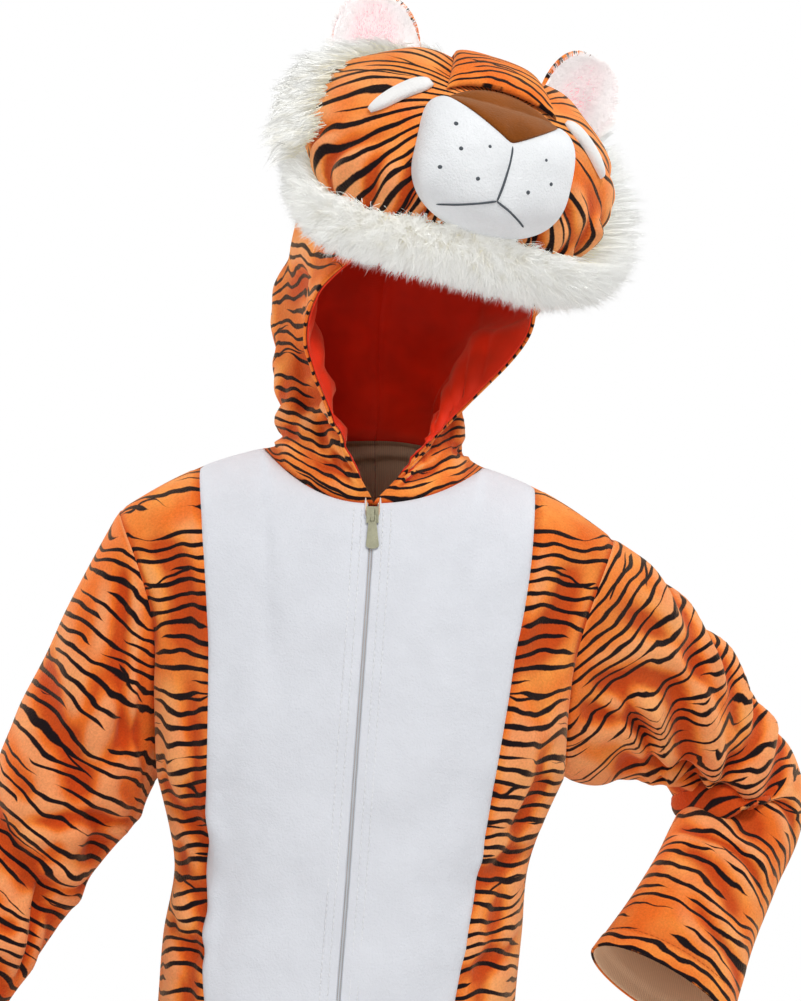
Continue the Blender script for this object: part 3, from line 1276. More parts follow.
def stripe_rows(add, u, v, pitch, half, cover, seed, wander):
    """Wavy tapered stripes along u, 1 on a stripe and 0 off it. cover is the share of rows printed."""
    place = add("CombineXYZ", (u, v, seed))
    swell, wobble, fuzz = (
        add("TexNoise", {"Vector": place, "Scale": 1 / size, "Detail": detail})
        for size, detail in ((0.060, 1.0), (0.020, 1.0), (0.0016, 2.0)))
    shift = add("Math", (swell, -0.5), operation="ADD")
    shift = add("Math", (shift, wander), operation="MULTIPLY")
    small = add("Math", (wobble, -0.5), operation="ADD")
    small = add("Math", (small, 0.0078, shift), operation="MULTIPLY_ADD")
    line = add("Math", (v, small), operation="ADD")
    rows = add("Math", (line, pitch), operation="DIVIDE")
    row = add("Math", (rows,), operation="FLOOR")
    aside = add("Math", (rows,), operation="FRACT")
    aside = add("Math", (aside, -0.5), operation="ADD")
    aside = add("Math", (aside,), operation="ABSOLUTE")
    aside = add("Math", (aside, pitch), operation="MULTIPLY")
    own_row = add("Math", (row, 3.17), operation="MULTIPLY")
    own = add("CombineXYZ", (u, own_row, seed))
    dashes = add("TexNoise", {"Vector": own, "Scale": 1 / 0.066, "Detail": 1.0, "Roughness": 0.35})
    bare = 0.36 * cover
    wide = add("MapRange", (dashes, 0.655 - bare, 0.765 - bare, -0.0006, half),
               interpolation_type="SMOOTHSTEP")
    soft = add("Math", (fuzz, -0.5), operation="ADD")
    soft = add("Math", (soft, 0.0006, wide), operation="MULTIPLY_ADD")
    over = add("Math", (soft, aside), operation="SUBTRACT")
    return add("MapRange", (over, -0.0003, 0.0004), interpolation_type="SMOOTHSTEP")


def tiger_plush(seed, pitch=None, half=None, cover=0.88, wander=0.030, deep=0.0):
    """Velboa, a knitted polyester plush sheared to 3 mm and printed: a matt, softly glowing pile
    whose tips catch the light at the edges of each fold, with fuzzy-edged stripes."""
    finish, add, shader = new_material("Printed velboa plush")
    tone = colours()
    pitch = pitch or sizes().stripe_pitch
    half = half or sizes().stripe_half
    flat = add("SeparateXYZ", (add("UVMap", uv_map="cloth"),))
    u, v = flat.outputs["X"], flat.outputs["Y"]
    main_rows = stripe_rows(add, u, v, pitch, half, cover, seed, wander)
    slant = add("Math", (u, 0.11, v), operation="MULTIPLY_ADD")
    forks = stripe_rows(add, u, slant, pitch * 2.3, half * 0.62, cover * 0.40, seed + 7.3, wander * 1.2)
    printed = add("Math", (main_rows, forks), operation="MAXIMUM")
    tufts, patches = pile_texture(add, 0.0016, 0.034)
    lie = add("MapRange", (patches, 0.32 - deep, 0.66 - deep))
    hollow = add("Attribute", attribute_name="hollow").outputs["Fac"]
    fold = add("Math", (hollow, 0.85), operation="MULTIPLY")
    ridge = add("Math", (hollow, -0.45), operation="MULTIPLY")
    ground = linear(tone.orange)
    for share, code in ((lie, tone.orange_deep), (fold, tone.orange_fold), (ridge, tone.orange_ridge),
                        (printed, tone.stripe)):
        ground = add("Mix", {0: share, 6: ground, 7: linear(code)}, data_type="RGBA").outputs[2]
    depth = add("MapRange", (tufts, 0.3, 0.7, 0.88, 1.10))
    shade = add("VectorMath", {0: ground, "Scale": depth}, operation="SCALE")
    set_shader(shader, Base_Color=shade, Roughness=0.92, Specular_IOR_Level=0.12, Sheen_Weight=0.35,
               Sheen_Roughness=0.45, Sheen_Tint=(1.0, 0.62, 0.36, 1.0), IOR=1.5,
               Normal=pile_bump(add, tufts, patches, 0.0007, 0.0030))
    return finish


def plain_plush(name, code, sheen=0.3, tint=(1.0, 1.0, 1.0, 1.0), patch=0.06, tall=0.0006):
    """Undyed or piece-dyed velboa: a matt short pile with a soft glow and faint brushed patches."""
    finish, add, shader = new_material(name)
    tufts, patches = pile_texture(add, 0.0015, 0.028)
    both = add("Math", (tufts, 0.6, patches), operation="MULTIPLY_ADD")
    shade = tinted(add, code, both, 0.6, 1.1, 1 - patch * 2, 1 + patch)
    set_shader(shader, Base_Color=shade, Roughness=0.9, Specular_IOR_Level=0.12, Sheen_Weight=sheen,
               Sheen_Roughness=0.45, Sheen_Tint=tint, Normal=pile_bump(add, tufts, patches, tall, 0.0024))
    return finish


def ear_plush():
    """White plush with a sprayed pink middle: the colour fades out softly towards the rim."""
    finish, add, shader = new_material("White plush with airbrushed pink")
    place = add("UVMap", uv_map="cloth")
    away = add("VectorMath", {0: place, 1: (0.0, 0.42, 0.0)}, operation="DISTANCE").outputs["Value"]
    tufts, patches = pile_texture(add, 0.0015, 0.012)
    uneven = add("Math", (tufts, 0.16, away), operation="MULTIPLY_ADD")
    fade = add("MapRange", (uneven, 0.42, 0.86), interpolation_type="SMOOTHSTEP")
    shade = add("Mix", {0: fade, 6: linear(colours().pink), 7: linear(colours().ear_rim)},
                data_type="RGBA").outputs[2]
    set_shader(shader, Base_Color=shade, Emission_Color=shade, Emission_Strength=FIBRE_LIGHT * 0.6,
               Roughness=0.9, Specular_IOR_Level=0.12, Sheen_Weight=0.3, Sheen_Roughness=0.5,
               Sheen_Tint=(1.0, 0.94, 0.94, 1.0), Normal=pile_bump(add, tufts, patches, 0.0007, 0.0014))
    return finish


def knitted_backing():
    """The plush's knitted polyester ground, seen on the inside: plain, pale and matt, with fine
    wales 0.8 mm apart, drawn at 1.6 mm so that they show."""
    name = "Knitted backing of the velboa"
    if name in bpy.data.materials:
        return bpy.data.materials[name]
    finish, add, shader = new_material(name)
    place = add("UVMap", uv_map="cloth")
    wales = add("TexWave", {"Vector": place, "Scale": band_scale(0.0016), "Distortion": 0.5}).outputs["Fac"]
    bump = add("Bump", {"Height": wales, "Strength": 0.5, "Distance": 0.0003})
    set_shader(shader, Base_Color=tinted(add, "#F6D0AC", wales, 0, 1, 0.88, 1.0), Roughness=0.95,
               Specular_IOR_Level=0.1, Normal=bump)
    return finish


def lining_knit():
    """Polyester tricot, warp knitted and dyed: a smooth thin cloth with fine ribs and a slight sheen.
    The real ribs are 0.4 mm apart and are drawn at 1.2 mm, so that they show."""
    finish, add, shader = new_material("Polyester tricot, dyed red")
    place = add("UVMap", uv_map="cloth")
    ribs = add("TexWave", {"Vector": place, "Scale": band_scale(0.0012), "Distortion": 0.6, "Detail": 1.0})
    patches = pile_texture(add, 0.004, 0.03)[1]
    low = add("Bump", {"Height": patches, "Strength": 0.6, "Distance": 0.003})
    high = add("Bump", {"Height": ribs.outputs["Fac"], "Strength": 0.5, "Distance": 0.0002, "Normal": low})
    set_shader(shader, Base_Color=tinted(add, colours().lining, patches, 0.3, 0.7, 0.82, 1.1),
               Roughness=0.62, Specular_IOR_Level=0.3, Sheen_Weight=0.25, Sheen_Roughness=0.4,
               Sheen_Tint=(1.0, 0.5, 0.3, 1.0), Normal=high)
    return finish


def fibre(name, root, tip, rough=0.6, low=0.0, high=0.7):
    """Acrylic or polyester pile fibre, extruded and crimped: darker and warmer where it is deep in
    the pile, pale at its tip, and each lock a little different."""
    finish, add, shader = new_material(name)
    flat = add("SeparateXYZ", (add("UVMap", uv_map="cloth"),))
    rise = add("MapRange", (flat.outputs["Y"], low, high), interpolation_type="SMOOTHSTEP")
    blend = add("Mix", {0: rise, 6: linear(root), 7: linear(tip)}, data_type="RGBA").outputs[2]
    luck = add("MapRange", (flat.outputs["X"], 0, 1, 0.90, 1.04))
    shade = add("VectorMath", {0: blend, "Scale": luck}, operation="SCALE")
    surface = add("NewGeometry").outputs
    turn = add("Math", (surface["Backfacing"], -2.0, 1.0), operation="MULTIPLY_ADD")
    facing = add("VectorMath", {0: surface["Normal"], "Scale": turn}, operation="SCALE")
    set_shader(shader, Base_Color=shade, Emission_Color=shade, Emission_Strength=FIBRE_LIGHT,
               Roughness=rough, Specular_IOR_Level=0.25, Sheen_Weight=0.2, Normal=facing)
    return finish


def fur_ground():
    """The knitted ground and packed roots of long-pile fur: matt, shaded between the locks."""
    finish, add, shader = new_material("Long-pile fur ground, acrylic")
    tufts, patches = pile_texture(add, 0.0028, 0.012)
    mask = add("MapRange", (patches, 0.35, 0.65))
    shade = add("Mix", {0: mask, 6: linear(colours().fur_root), 7: linear(colours().fur)},
                data_type="RGBA").outputs[2]
    set_shader(shader, Base_Color=shade, Roughness=0.95, Specular_IOR_Level=0.1, Sheen_Weight=0.3,
               Normal=pile_bump(add, tufts, patches, 0.0015, 0.004))
    return finish


def woven_tape():
    """Polyester zip tape, woven in a fine herringbone 0.5 mm apart, drawn at 1 mm so that it shows:
    a smooth, faintly ribbed ribbon."""
    finish, add, shader = new_material("Polyester zip tape, woven")
    place = add("TexCoord").outputs["Object"]
    both = add("Math", [
        add("TexWave", {"Vector": place, "Scale": band_scale(0.001), "Distortion": 0.4},
            bands_direction=way).outputs["Fac"] for way in "ZX"], operation="MULTIPLY")
    bump = add("Bump", {"Height": both, "Strength": 0.6, "Distance": 0.0002})
    set_shader(shader, Base_Color=tinted(add, colours().tape, both, 0, 1, 0.86, 1.02), Roughness=0.75,
               Specular_IOR_Level=0.3, Sheen_Weight=0.15, Normal=bump)
    return finish


def moulded_nylon():
    """Nylon coil, drawn and wound: smooth and slightly glossy, a touch greyer than the tape."""
    finish, add, shader = new_material("Nylon coil, wound")
    tufts, patches = pile_texture(add, 0.0006, 0.01)
    bump = add("Bump", {"Height": tufts, "Strength": 0.2, "Distance": 0.0001})
    set_shader(shader, Base_Color=tinted(add, "#EEEFF2", patches, 0, 1, 0.85, 1.05), Roughness=0.35,
               Specular_IOR_Level=0.5, Normal=bump)
    return finish


def plated_zinc():
    """Die-cast zinc with an antique nickel plating: a dull warm-grey gloss, duller in fine scuffs."""
    finish, add, shader = new_material("Zinc alloy, die cast and plated")
    tufts, patches = pile_texture(add, 0.0009, 0.006)
    both = add("Math", (tufts, 0.5, patches), operation="MULTIPLY_ADD")
    dull = add("MapRange", (both, 0.5, 1.0, 0.42, 0.26))
    bump = add("Bump", {"Height": both, "Strength": 0.15, "Distance": 0.0002})
    set_shader(shader, Base_Color=tinted(add, colours().metal, both, 0.5, 1.0, 0.75, 1.1),
               Roughness=dull, Metallic=1.0, Normal=bump)
    return finish


def spun_thread(name, code):
    """Polyester sewing thread, spun and twisted: a matt cord whose twist, 0.6 mm long, shows as
    fine slanting shade."""
    finish, add, shader = new_material(name)
    place = add("TexCoord").outputs["Object"]
    twist = add("TexWave", {"Vector": place, "Scale": band_scale(0.0006), "Distortion": 0.5},
                bands_direction="DIAGONAL").outputs["Fac"]
    bump = add("Bump", {"Height": twist, "Strength": 0.4, "Distance": 0.0001})
    set_shader(shader, Base_Color=tinted(add, code, twist, 0, 1, 0.75, 1.05), Roughness=0.8,
               Specular_IOR_Level=0.25, Normal=bump)
    return finish


def level_grids(points):
    """Stripe coordinates of a panel: along the row and by height, so that rows are level."""
    u = arc_grids(points)[0]
    run = norm(np.diff(points, axis=0), axis=-1)
    steep = np.abs(np.diff(points[..., 2], axis=0)) / np.maximum(run, 1e-9)
    steps = np.cumsum(run * np.maximum(steep, 1 - steep), axis=0)
    steps = np.concatenate([np.zeros((1, points.shape[1])), steps])
    if points[0, 0, 2] > points[-1, 0, 2]:
        return u, steps - steps[-1:] - points[-1:, :, 2]
    return u, steps + points[:1, :, 2]


class COSTUME_OT_body(Operator):
    """Bib halves, side fronts and backs, sunk at their seams and creased."""
    bl_idname = "costume.body"
    bl_label = "Body panels"

    def execute(self, context):
        white = plain_plush("White velboa plush", colours().white, patch=0.02)
        stripes = tiger_plush(1.0)
        bib_end = NECK_FRONT_CELLS + SHOULDER_CELLS
        for hand, word in WORDS.items():
            points, inward = body_grid(hand, FRONT)
            bib, bib_in = part_columns(points, inward, 0, bib_end, False, True)
            cloth_panel(f"bib_{word}", bib, bib_in, white, ALL_EDGES[1:], slot="white_plush")
            side, side_in = part_columns(points, inward, bib_end, points.shape[1] - 1, True, False)
            cloth_panel(f"side_front_{word}", side, side_in, stripes, ALL_EDGES, level_grids(side))
            back, back_in = body_grid(hand, BACK)
            cloth_panel(f"back_{word}", back, back_in, tiger_plush(2.0 + hand), ALL_EDGES,
                        level_grids(back))
        return {"FINISHED"}


class COSTUME_OT_sleeves(Operator):
    """Both sleeves with their drag folds and turned cuffs."""
    bl_idname = "costume.sleeves"
    bl_label = "Sleeves"

    def execute(self, context):
        for hand, word in WORDS.items():
            points, inward, lengthwise = sleeve_grid(hand)
            u, v = arc_grids(closed(points))
            slope = along(SLEEVE_SLANTS[hand], "slope", shares(len(points) - 1)[:, None])
            uv = u, closed(lengthwise) + (u - u[:, -1:] / 4) * slope
            finish = tiger_plush(4.0 + hand, wander=0.028, deep=SLEEVE_DEEP[hand])
            cloth_panel(f"sleeve_{word}", points, inward, finish, ("top",), uv, True,
                        proud=hem_rise(v[-1:, :-1] - v[:, :-1]))
        return {"FINISHED"}


class COSTUME_OT_legs(Operator):
    """Front and back of both legs with their knee creases and turned hems."""
    bl_idname = "costume.legs"
    bl_label = "Legs"

    def execute(self, context):
        for hand, word in WORDS.items():
            for part, (points, inward) in leg_grids(hand).items():
                v = arc_grids(points)[1]
                cloth_panel(f"leg_{word}_{part}", points, inward, tiger_plush(6.0 + hand),
                            ALL_EDGES[:3], level_grids(points), proud=hem_rise(v[-1:] - v))
        return {"FINISHED"}


class COSTUME_OT_hood(Operator):
    """The hood's halves and their red lining, creased together."""
    bl_idname = "costume.hood"
    bl_label = "Hood and lining"

    def execute(self, context):
        red = lining_knit()
        edges = ("first", "last", "bottom")
        for hand, word in WORDS.items():
            points, inward = hood_grid(hand)
            u, v = arc_grids(points)
            cloth_panel(f"hood_{word}", points, inward, tiger_plush(9.0 + hand), edges, (v, u))
            skin = points + inward * (PLUSH + LINING_GAP)
            cloth_panel(f"hood_lining_{word}", skin, inward, red, edges, (v, u), thick=LINING,
                        slot="red_lining")
        return {"FINISHED"}


def pucker_depth(angle, spread):
    """Depth of the gathers where the stuffed face meets its seam."""
    total = np.zeros(spread.shape)
    for pucker in FACE_PUCKERS:
        turn = (np.degrees(angle) - pucker.angle + 180 + 4 * np.sin(spread * 9 + pucker.angle)) % 360 - 180
        aside = np.radians(turn) * 0.095 * spread
        start = ease((spread - pucker.spread1 + PUCKER_REACH) / (pucker.spread0 - pucker.spread1))
        shape = np.exp(-(aside / pucker.half) ** 2)
        shape = shape - 0.4 * np.exp(-(np.abs(aside) / pucker.half - 1.9) ** 2)
        total += pucker.depth * start * shape * (1 - ease((spread - 0.96) / 0.04) * 0.6)
    return total


def fan_grids(direction):
    """Stripe coordinates that fan out from the top of the nose over the face."""
    pole = unit(np.array(FAN_MIDDLE) - DOME_MIDDLE)
    side = unit(np.cross(pole, (0.0, 0.0, 1.0)))
    up = np.cross(side, pole)
    away = np.arccos(np.clip(direction @ pole, -1, 1))
    turn = np.arctan2(-(direction @ side), -(direction @ up))
    return away * FAN_RADIUS + 0.012 * np.sin(2 * turn), turn * FAN_TURN


def make_bridge():
    across = np.linspace(-1, 1, 37)[None]
    share = np.linspace(0, 1, 49)[:, None]
    low = BRIDGE_RISES[0] + BRIDGE_ARCH * (1 - across ** 2)
    rise = low + (BRIDGE_RISES[1] - low) * share
    x = across * BRIDGE_HALF * (1 - BRIDGE_NARROWS * share)
    through = stack(x, -np.cos(rise) * 0.12, HEAD_MIDDLE[2] + np.sin(rise) * 0.10)
    full = np.sqrt(clamp(1 - across ** 2)) * np.sqrt(np.sin(pi * (0.03 + 0.95 * share)))
    outer = head_surface(through, PAD_SEAT + EDGE_THICK + BRIDGE_RAISED * full)
    pad("nose_bridge_pad", "nose_bridge", outer, head_surface(through, PAD_SEAT),
        tiger_plush(15.0, pitch=0.0080, half=0.0014), arc_grids(outer))


class COSTUME_OT_face(Operator):
    """The stuffed face with its gathers, and the bridge over the nose."""
    bl_idname = "costume.face"
    bl_label = "Padded face"

    def execute(self, context):
        p, q = disc(FACE_CELLS + 1)
        spread = clamp(np.hypot(p, q))
        angle = np.arctan2(q, p)
        direction = face_direction(angle, spread)
        inner = dome_point(direction, PAD_SEAT)
        flush = dome_point(direction, PAD_SEAT + EDGE_THICK)
        target = head_surface(DOME_MIDDLE + direction * FACE_CAST)
        full = np.sqrt(1 - (1 - clamp((1 - spread) / FACE_ROUND)) ** 2)
        outer = flush + (target - flush) * full[..., None]
        soft = ripple(outer[..., 0] + outer[..., 1], outer[..., 2], 0.075, 3.0) * 0.0012 * full
        gathers = pucker_depth(angle, spread) * sizes().crease * PUCKER_STRENGTH
        outer = outer - direction * (gathers - soft)[..., None]
        stripes = tiger_plush(13.0, pitch=0.0090, half=0.0017, cover=0.86, wander=0.024)
        piece = pad("face_pad", "face", outer, inner, stripes, fan_grids(direction))
        mark_hollows(piece, outer, -direction)
        make_bridge()
        return {"FINISHED"}


def notch_z(x):
    """Height of the muzzle's notched top edge."""
    return NOTCH_Z + NOTCH_RISE * np.sqrt((np.abs(x) / NOTCH_HALF) ** 2 + 0.004)


def muzzle_surface(x, z, out=0.0):
    """Points on the front of the muzzle, in the head's own frame."""
    near = clamp((notch_z(x) - z) / 0.007)
    edge = 0.0026 * (1 - np.sqrt(1 - (1 - near) ** 2))
    return head_front(x, z) + stack(0.0, edge - muzzle_out(x, z) - out, 0.0)


def make_nose():
    brown = plain_plush("Brown velboa plush", colours().brown, sheen=0.4, tint=(1.0, 0.7, 0.45, 1.0),
                        patch=0.12)
    p, q = np.meshgrid(np.linspace(-1, 1, NOSE_CELLS * 2), np.linspace(-1, 1, NOSE_CELLS))
    x = p * NOSE_HALF
    low, high = notch_z(x) + SEAM, NOSE_TOP_Z + NOSE_ARC * (1 - p * p) + 0.0006
    high = np.maximum(high, low + 0.0012)
    z = low + (high - low) * (q + 1) / 2
    base = head_front(x, z)
    full = np.sqrt(clamp((1 - p ** 4) * (1 - q ** 4)))
    mound = np.maximum(muzzle_out(x, z) - 0.0030, EDGE_THICK)
    outer = base + stack(0.0, -mound - NOSE_RAISED * full, 0.0)
    pad("nose_pad", "nose", outer, base, brown, (x, z))


def make_eyes():
    white = plain_plush("White velboa plush, clipped", "#F4F3F1", patch=0.03)
    p, q = np.meshgrid(np.linspace(-1, 1, 57), np.linspace(-1, 1, 25))
    share = (p + 1) / 2
    run = np.array(EYE_OUTER) - np.array(EYE_INNER)
    ahead = unit(run)
    for hand, word in WORDS.items():
        half = EYE_HALF * (0.85 if hand > 0 else 1) * clamp(1 - np.abs(p) ** 4 * 0.6)
        half = half * (1 - 0.25 * share)
        x = EYE_INNER[0] + run[0] * share - ahead[1] * q * half
        z = EYE_INNER[1] + run[1] * share + 0.003 * np.sin(pi * share) + ahead[0] * q * half
        base = head_surface(stack(hand * x, front_y(x, z), z), SEAT)
        full = np.sqrt(clamp(1 - q * q)) * np.sqrt(clamp(1 - p ** 4))
        lift = (EDGE_THICK + EYE_RAISED * full)[..., None]
        outer = base + unit(base - HEAD_MIDDLE) * lift
        pad(f"eye_{word}_pad", f"eye_{word}", outer, base, white, (x, z))


def make_threads():
    grey = spun_thread("Polyester thread, grey", colours().cord)
    for name, line in (("mouth_drop", MOUTH_DROP), ("mouth_left", MOUTH_LEFT),
                       ("mouth_right", MOUTH_RIGHT)):
        at = np.linspace(0, len(line) - 1, 36)
        x, z = (np.interp(at, np.arange(len(line)), column) for column in zip(*line))
        for column in (x, z):
            column[3:-3] = np.convolve(column, np.ones(7) / 7, "valid")
        tube(name, head(muzzle_surface(x, z, 0.0001)), 0.0008, grey)
    p, q = disc(9)
    for number, (x, z) in enumerate(WHISKERS):
        x, z = x + p * 0.0013, z + q * 0.0013
        dome = muzzle_surface(x, z, 0.0007 * (1 - p * p - q * q) + 0.0001)
        shell("whisker_dot_%d" % number, head(dome), head(muzzle_surface(x, z, -0.0006)), grey, (x, z))


class COSTUME_OT_muzzle(Operator):
    """Muzzle, nose, eyes, mouth line and whisker dots."""
    bl_idname = "costume.muzzle"
    bl_label = "Muzzle, nose and eyes"

    def execute(self, context):
        white = plain_plush("White velboa plush, fluffed", colours().muzzle, patch=0.03, tall=0.0009)
        p, q = disc(MUZZLE_CELLS + 1)
        power = np.where(q > 0, *MUZZLE_CORNERS)
        corner = (np.abs(p) ** power + np.abs(q) ** power) ** (1 / power)
        square = np.where(corner > 0, np.hypot(p, q) / np.maximum(corner, 1e-9), 1.0)
        x = p * square * MUZZLE_HALF
        z = q * square * np.where(q > 0, MUZZLE_UP, MUZZLE_DOWN)
        round_top = MUZZLE_UP * np.clip(1 - np.abs(x / MUZZLE_HALF) ** power, 1e-6, 1) ** (1 / power)
        notched = clamp((notch_z(x) - MUZZLE_MIDDLE_Z) / round_top)
        z = MUZZLE_MIDDLE_Z + z * np.where(q > 0, notched, 1.0)
        soft = ripple(x, z, 0.045, 1.0) * 0.0006 * np.clip(1 - np.hypot(p, q), 0, 0.3) / 0.3
        outer = muzzle_surface(x, z) + stack(0.0, -soft, 0.0)
        pad("muzzle_pad", "muzzle", outer, head_front(x, z), white, (x, z))
        make_nose()
        make_eyes()
        make_threads()
        return {"FINISHED"}


def ear_fuzz(word, hand, sheet, normal, thick, lift, rim, finish, rng):
    """Short pile all over the ear's front, longer and standing out round its rim."""
    count = sizes().ear_strands
    rows, columns = sheet.shape[:2]
    r = rng.random(count) ** 0.8 * (rows - 1.001)
    c = rng.random(count) * (columns - 1.001)
    edge = rng.random(count) < 0.34
    spot = rng.random(count)
    r = np.where(edge & (spot < 0.5), rows - 1.001, r)
    c = np.where(edge & (spot >= 0.5), 0.0 if hand < 0 else columns - 1.001, c)
    outer_half = (columns / 2 - c) * hand < 0
    edge = edge & (outer_half | (spot < 0.15))
    r0, c0 = r.astype(int), c.astype(int)
    fr, fc = (r - r0)[:, None], (c - c0)[:, None]
    top = sheet + normal * (thick * np.where(rim[..., None] > 0.25, 0.97, 0.5))
    point = ((top[r0, c0] * (1 - fc) + top[r0, c0 + 1] * fc) * (1 - fr)
             + (top[r0 + 1, c0] * (1 - fc) + top[r0 + 1, c0 + 1] * fc) * fr)
    out = unit(point - sheet.reshape(-1, 3).mean(axis=0))
    up = normal[r0, c0]
    around = np.where(edge[:, None], out + up * 0.25, up + out * 0.35)
    around = unit(around + rng.normal(size=(count, 3)) * 0.25)
    length = sizes().ear_pile * np.where(edge, 0.95, 0.55) * (0.6 + 0.6 * rng.random(count))
    tip = point + around * length[:, None] + lift * 0.0008
    control = point + unit(around + up * 0.5) * length[:, None] * 0.5
    widths = np.full(count, 0.00042)
    piece = strands(f"ear_{word}_pile", head(point), head(control), head(tip), widths, finish, rng,
                    head(unit(up + out * 0.3)))


class COSTUME_OT_ears(Operator):
    """Cupped ears with a fuzzy white and pink front and a striped back."""
    bl_idname = "costume.ears"
    bl_label = "Ears"

    def execute(self, context):
        front_finish = ear_plush()
        tips = fibre("Short polyester pile, white", "#FBEDEE", "#FFFDFB", low=0.1, high=0.8)
        stripes = tiger_plush(21.0, pitch=0.008, half=0.0016)
        rng = np.random.default_rng(12)
        across = np.linspace(-0.965, 0.965, 45)[None]
        up = np.linspace(0, 1, 33)[:, None]
        rim = np.sqrt(clamp(1 - across ** 2)) * np.sqrt(np.sin(pi * (0.08 + 0.84 * up)))
        thick = (0.0012 + EAR_THICK * rim)[..., None]
        cup = EAR_CUP * (1 - across ** 2) * np.sin(pi * clamp(up * 0.75 + 0.05))
        height = EAR_HEIGHT * (1 - np.abs(across) ** 2.4) ** (1 / 2.4)
        for hand, word in WORDS.items():
            lift = unit(np.array((hand * sin(EAR_LEAN), 0.10, cos(EAR_LEAN))))
            wide = unit(np.array((cos(EAR_LEAN) * cos(EAR_OUT), hand * sin(EAR_OUT),
                                  -hand * sin(EAR_LEAN))))
            front = unit(np.cross(wide, lift))
            front = front * (-np.sign(front[1]))
            root = np.array((EAR_MIDDLE_X + hand * EAR_BASE_X, EAR_BASE_Y, EAR_BASE_Z))
            low = root + wide * across[..., None] * EAR_HALF
            base = head_surface(low)
            base = base + unit(base - HEAD_MIDDLE) * EAR_SEAT
            tip = low + lift * height[..., None]
            sheet = base * (1 - up[..., None]) + tip * up[..., None] - front * cup[..., None]
            normal = grid_normals(sheet, sheet - front * 0.01)
            gap = normal * SEAM
            edge = EAR_EDGE * up * clamp(0.5 - hand * across)
            front_sheet = sheet - edge[..., None] * (tip - root)
            pad(f"ear_{word}_inside", f"ear_{word}_front", front_sheet + gap + normal * thick,
                front_sheet + gap, front_finish, np.broadcast_arrays(across, up))
            pad(f"ear_{word}_outside", f"ear_{word}_back", sheet - gap,
                sheet - gap - normal * thick, stripes, arc_grids(sheet))
            ear_fuzz(word, hand, front_sheet, normal, thick, lift, rim, tips, rng)
        return {"FINISHED"}


def trim_line(angle):
    """The trim's seam: its points, two ways out, and its size."""
    direction = face_direction(angle, np.ones_like(angle))
    base = dome_point(direction)
    away = unit(dome_point(face_direction(angle, np.full_like(angle, 1.04))) - base)
    run = (angle - FUR_ANGLES[0]) / (FUR_ANGLES[1] - FUR_ANGLES[0])
    ends = np.sqrt(clamp(np.minimum(run, 1 - run) * 15 + 0.12))
    return base, away, direction, ends, along(CHEEKS, "longer", np.degrees(angle))


def trim_stretch(number, low, high, finish, rng):
    """Locks of fibres over one stretch of the trim."""
    count = sizes().strands // LOCK
    angle = rng.uniform(low, high, count)
    phi = rng.uniform(-0.30, pi * 0.60, count)
    base, away, direction, ends, cheek = trim_line(angle)
    square = (np.abs(np.cos(phi)) ** 2.6 + np.abs(np.sin(phi)) ** 2.6) ** (-1 / 2.6) * ends
    ahead = ((np.cos(phi) * FUR_REACH * square)[:, None] * away
             + (np.sin(phi) * (FUR_OUT + cheek) * square)[:, None] * direction)
    grow = (0.84 + 0.16 * rng.random(count))[:, None]
    root = base + away * 0.004 + ahead * 0.34
    aside = unit(np.cross(away, direction))
    tip = base + away * 0.003 + ahead * grow + aside * rng.normal(size=(count, 1)) * 0.0036
    tip = tip + unhead((0.0, 0.0, -0.10)) * norm(ahead, axis=1, keepdims=True)
    trim_locks("fur_pile_%d" % number, root, tip, ahead * 0.10, unit(ahead), finish, rng, 0.0034)


def trim_brow(finish, rng):
    """Locks that lie over the edge of the padded face, between the left ear and the cheek."""
    count = sizes().strands // 60
    share = rng.random(count)
    angle = np.radians(BROW_ANGLES[0] + (BROW_ANGLES[1] - BROW_ANGLES[0]) * share)
    spread = BROW_SPREADS[0] + (BROW_SPREADS[1] - BROW_SPREADS[0]) * rng.random(count)
    spread = spread + BROW_BEND * (share - 0.5) ** 2
    direction = face_direction(angle, spread)
    beyond = face_direction(angle, spread + 0.1)
    root = head_surface(DOME_MIDDLE + direction * FACE_CAST, -0.001)
    out = unit(head_surface(DOME_MIDDLE + beyond * FACE_CAST) - root)
    length = (0.020 + 0.008 * rng.random(count))[:, None]
    tip = root + (out * 0.92 + direction * 0.40 + rng.normal(size=(count, 3)) * 0.12) * length
    trim_locks("fur_pile_brow", root, tip, direction * 0.004, unit(direction + out), finish, rng, 0.0026)


def trim_locks(name, roots, tips, bend, facing, finish, rng, spread):
    """Fibres gathered into locks, each lock from its root to its tip."""
    pick = np.repeat(np.arange(len(roots)), LOCK)
    size = (len(pick), 3)
    root = roots[pick] + rng.normal(size=size) * spread
    tip = tips[pick] + rng.normal(size=size) * spread * 0.42
    tip = root + (tip - root) * (0.80 + 0.25 * rng.random(len(pick)))[:, None]
    control = (root + tip) / 2 + bend[pick] + rng.normal(size=size) * 0.0016
    widths = 0.00042 + 0.00034 * rng.random(len(pick))
    piece = strands(name, head(root), head(control), head(tip), widths, finish, rng, head(facing[pick]))


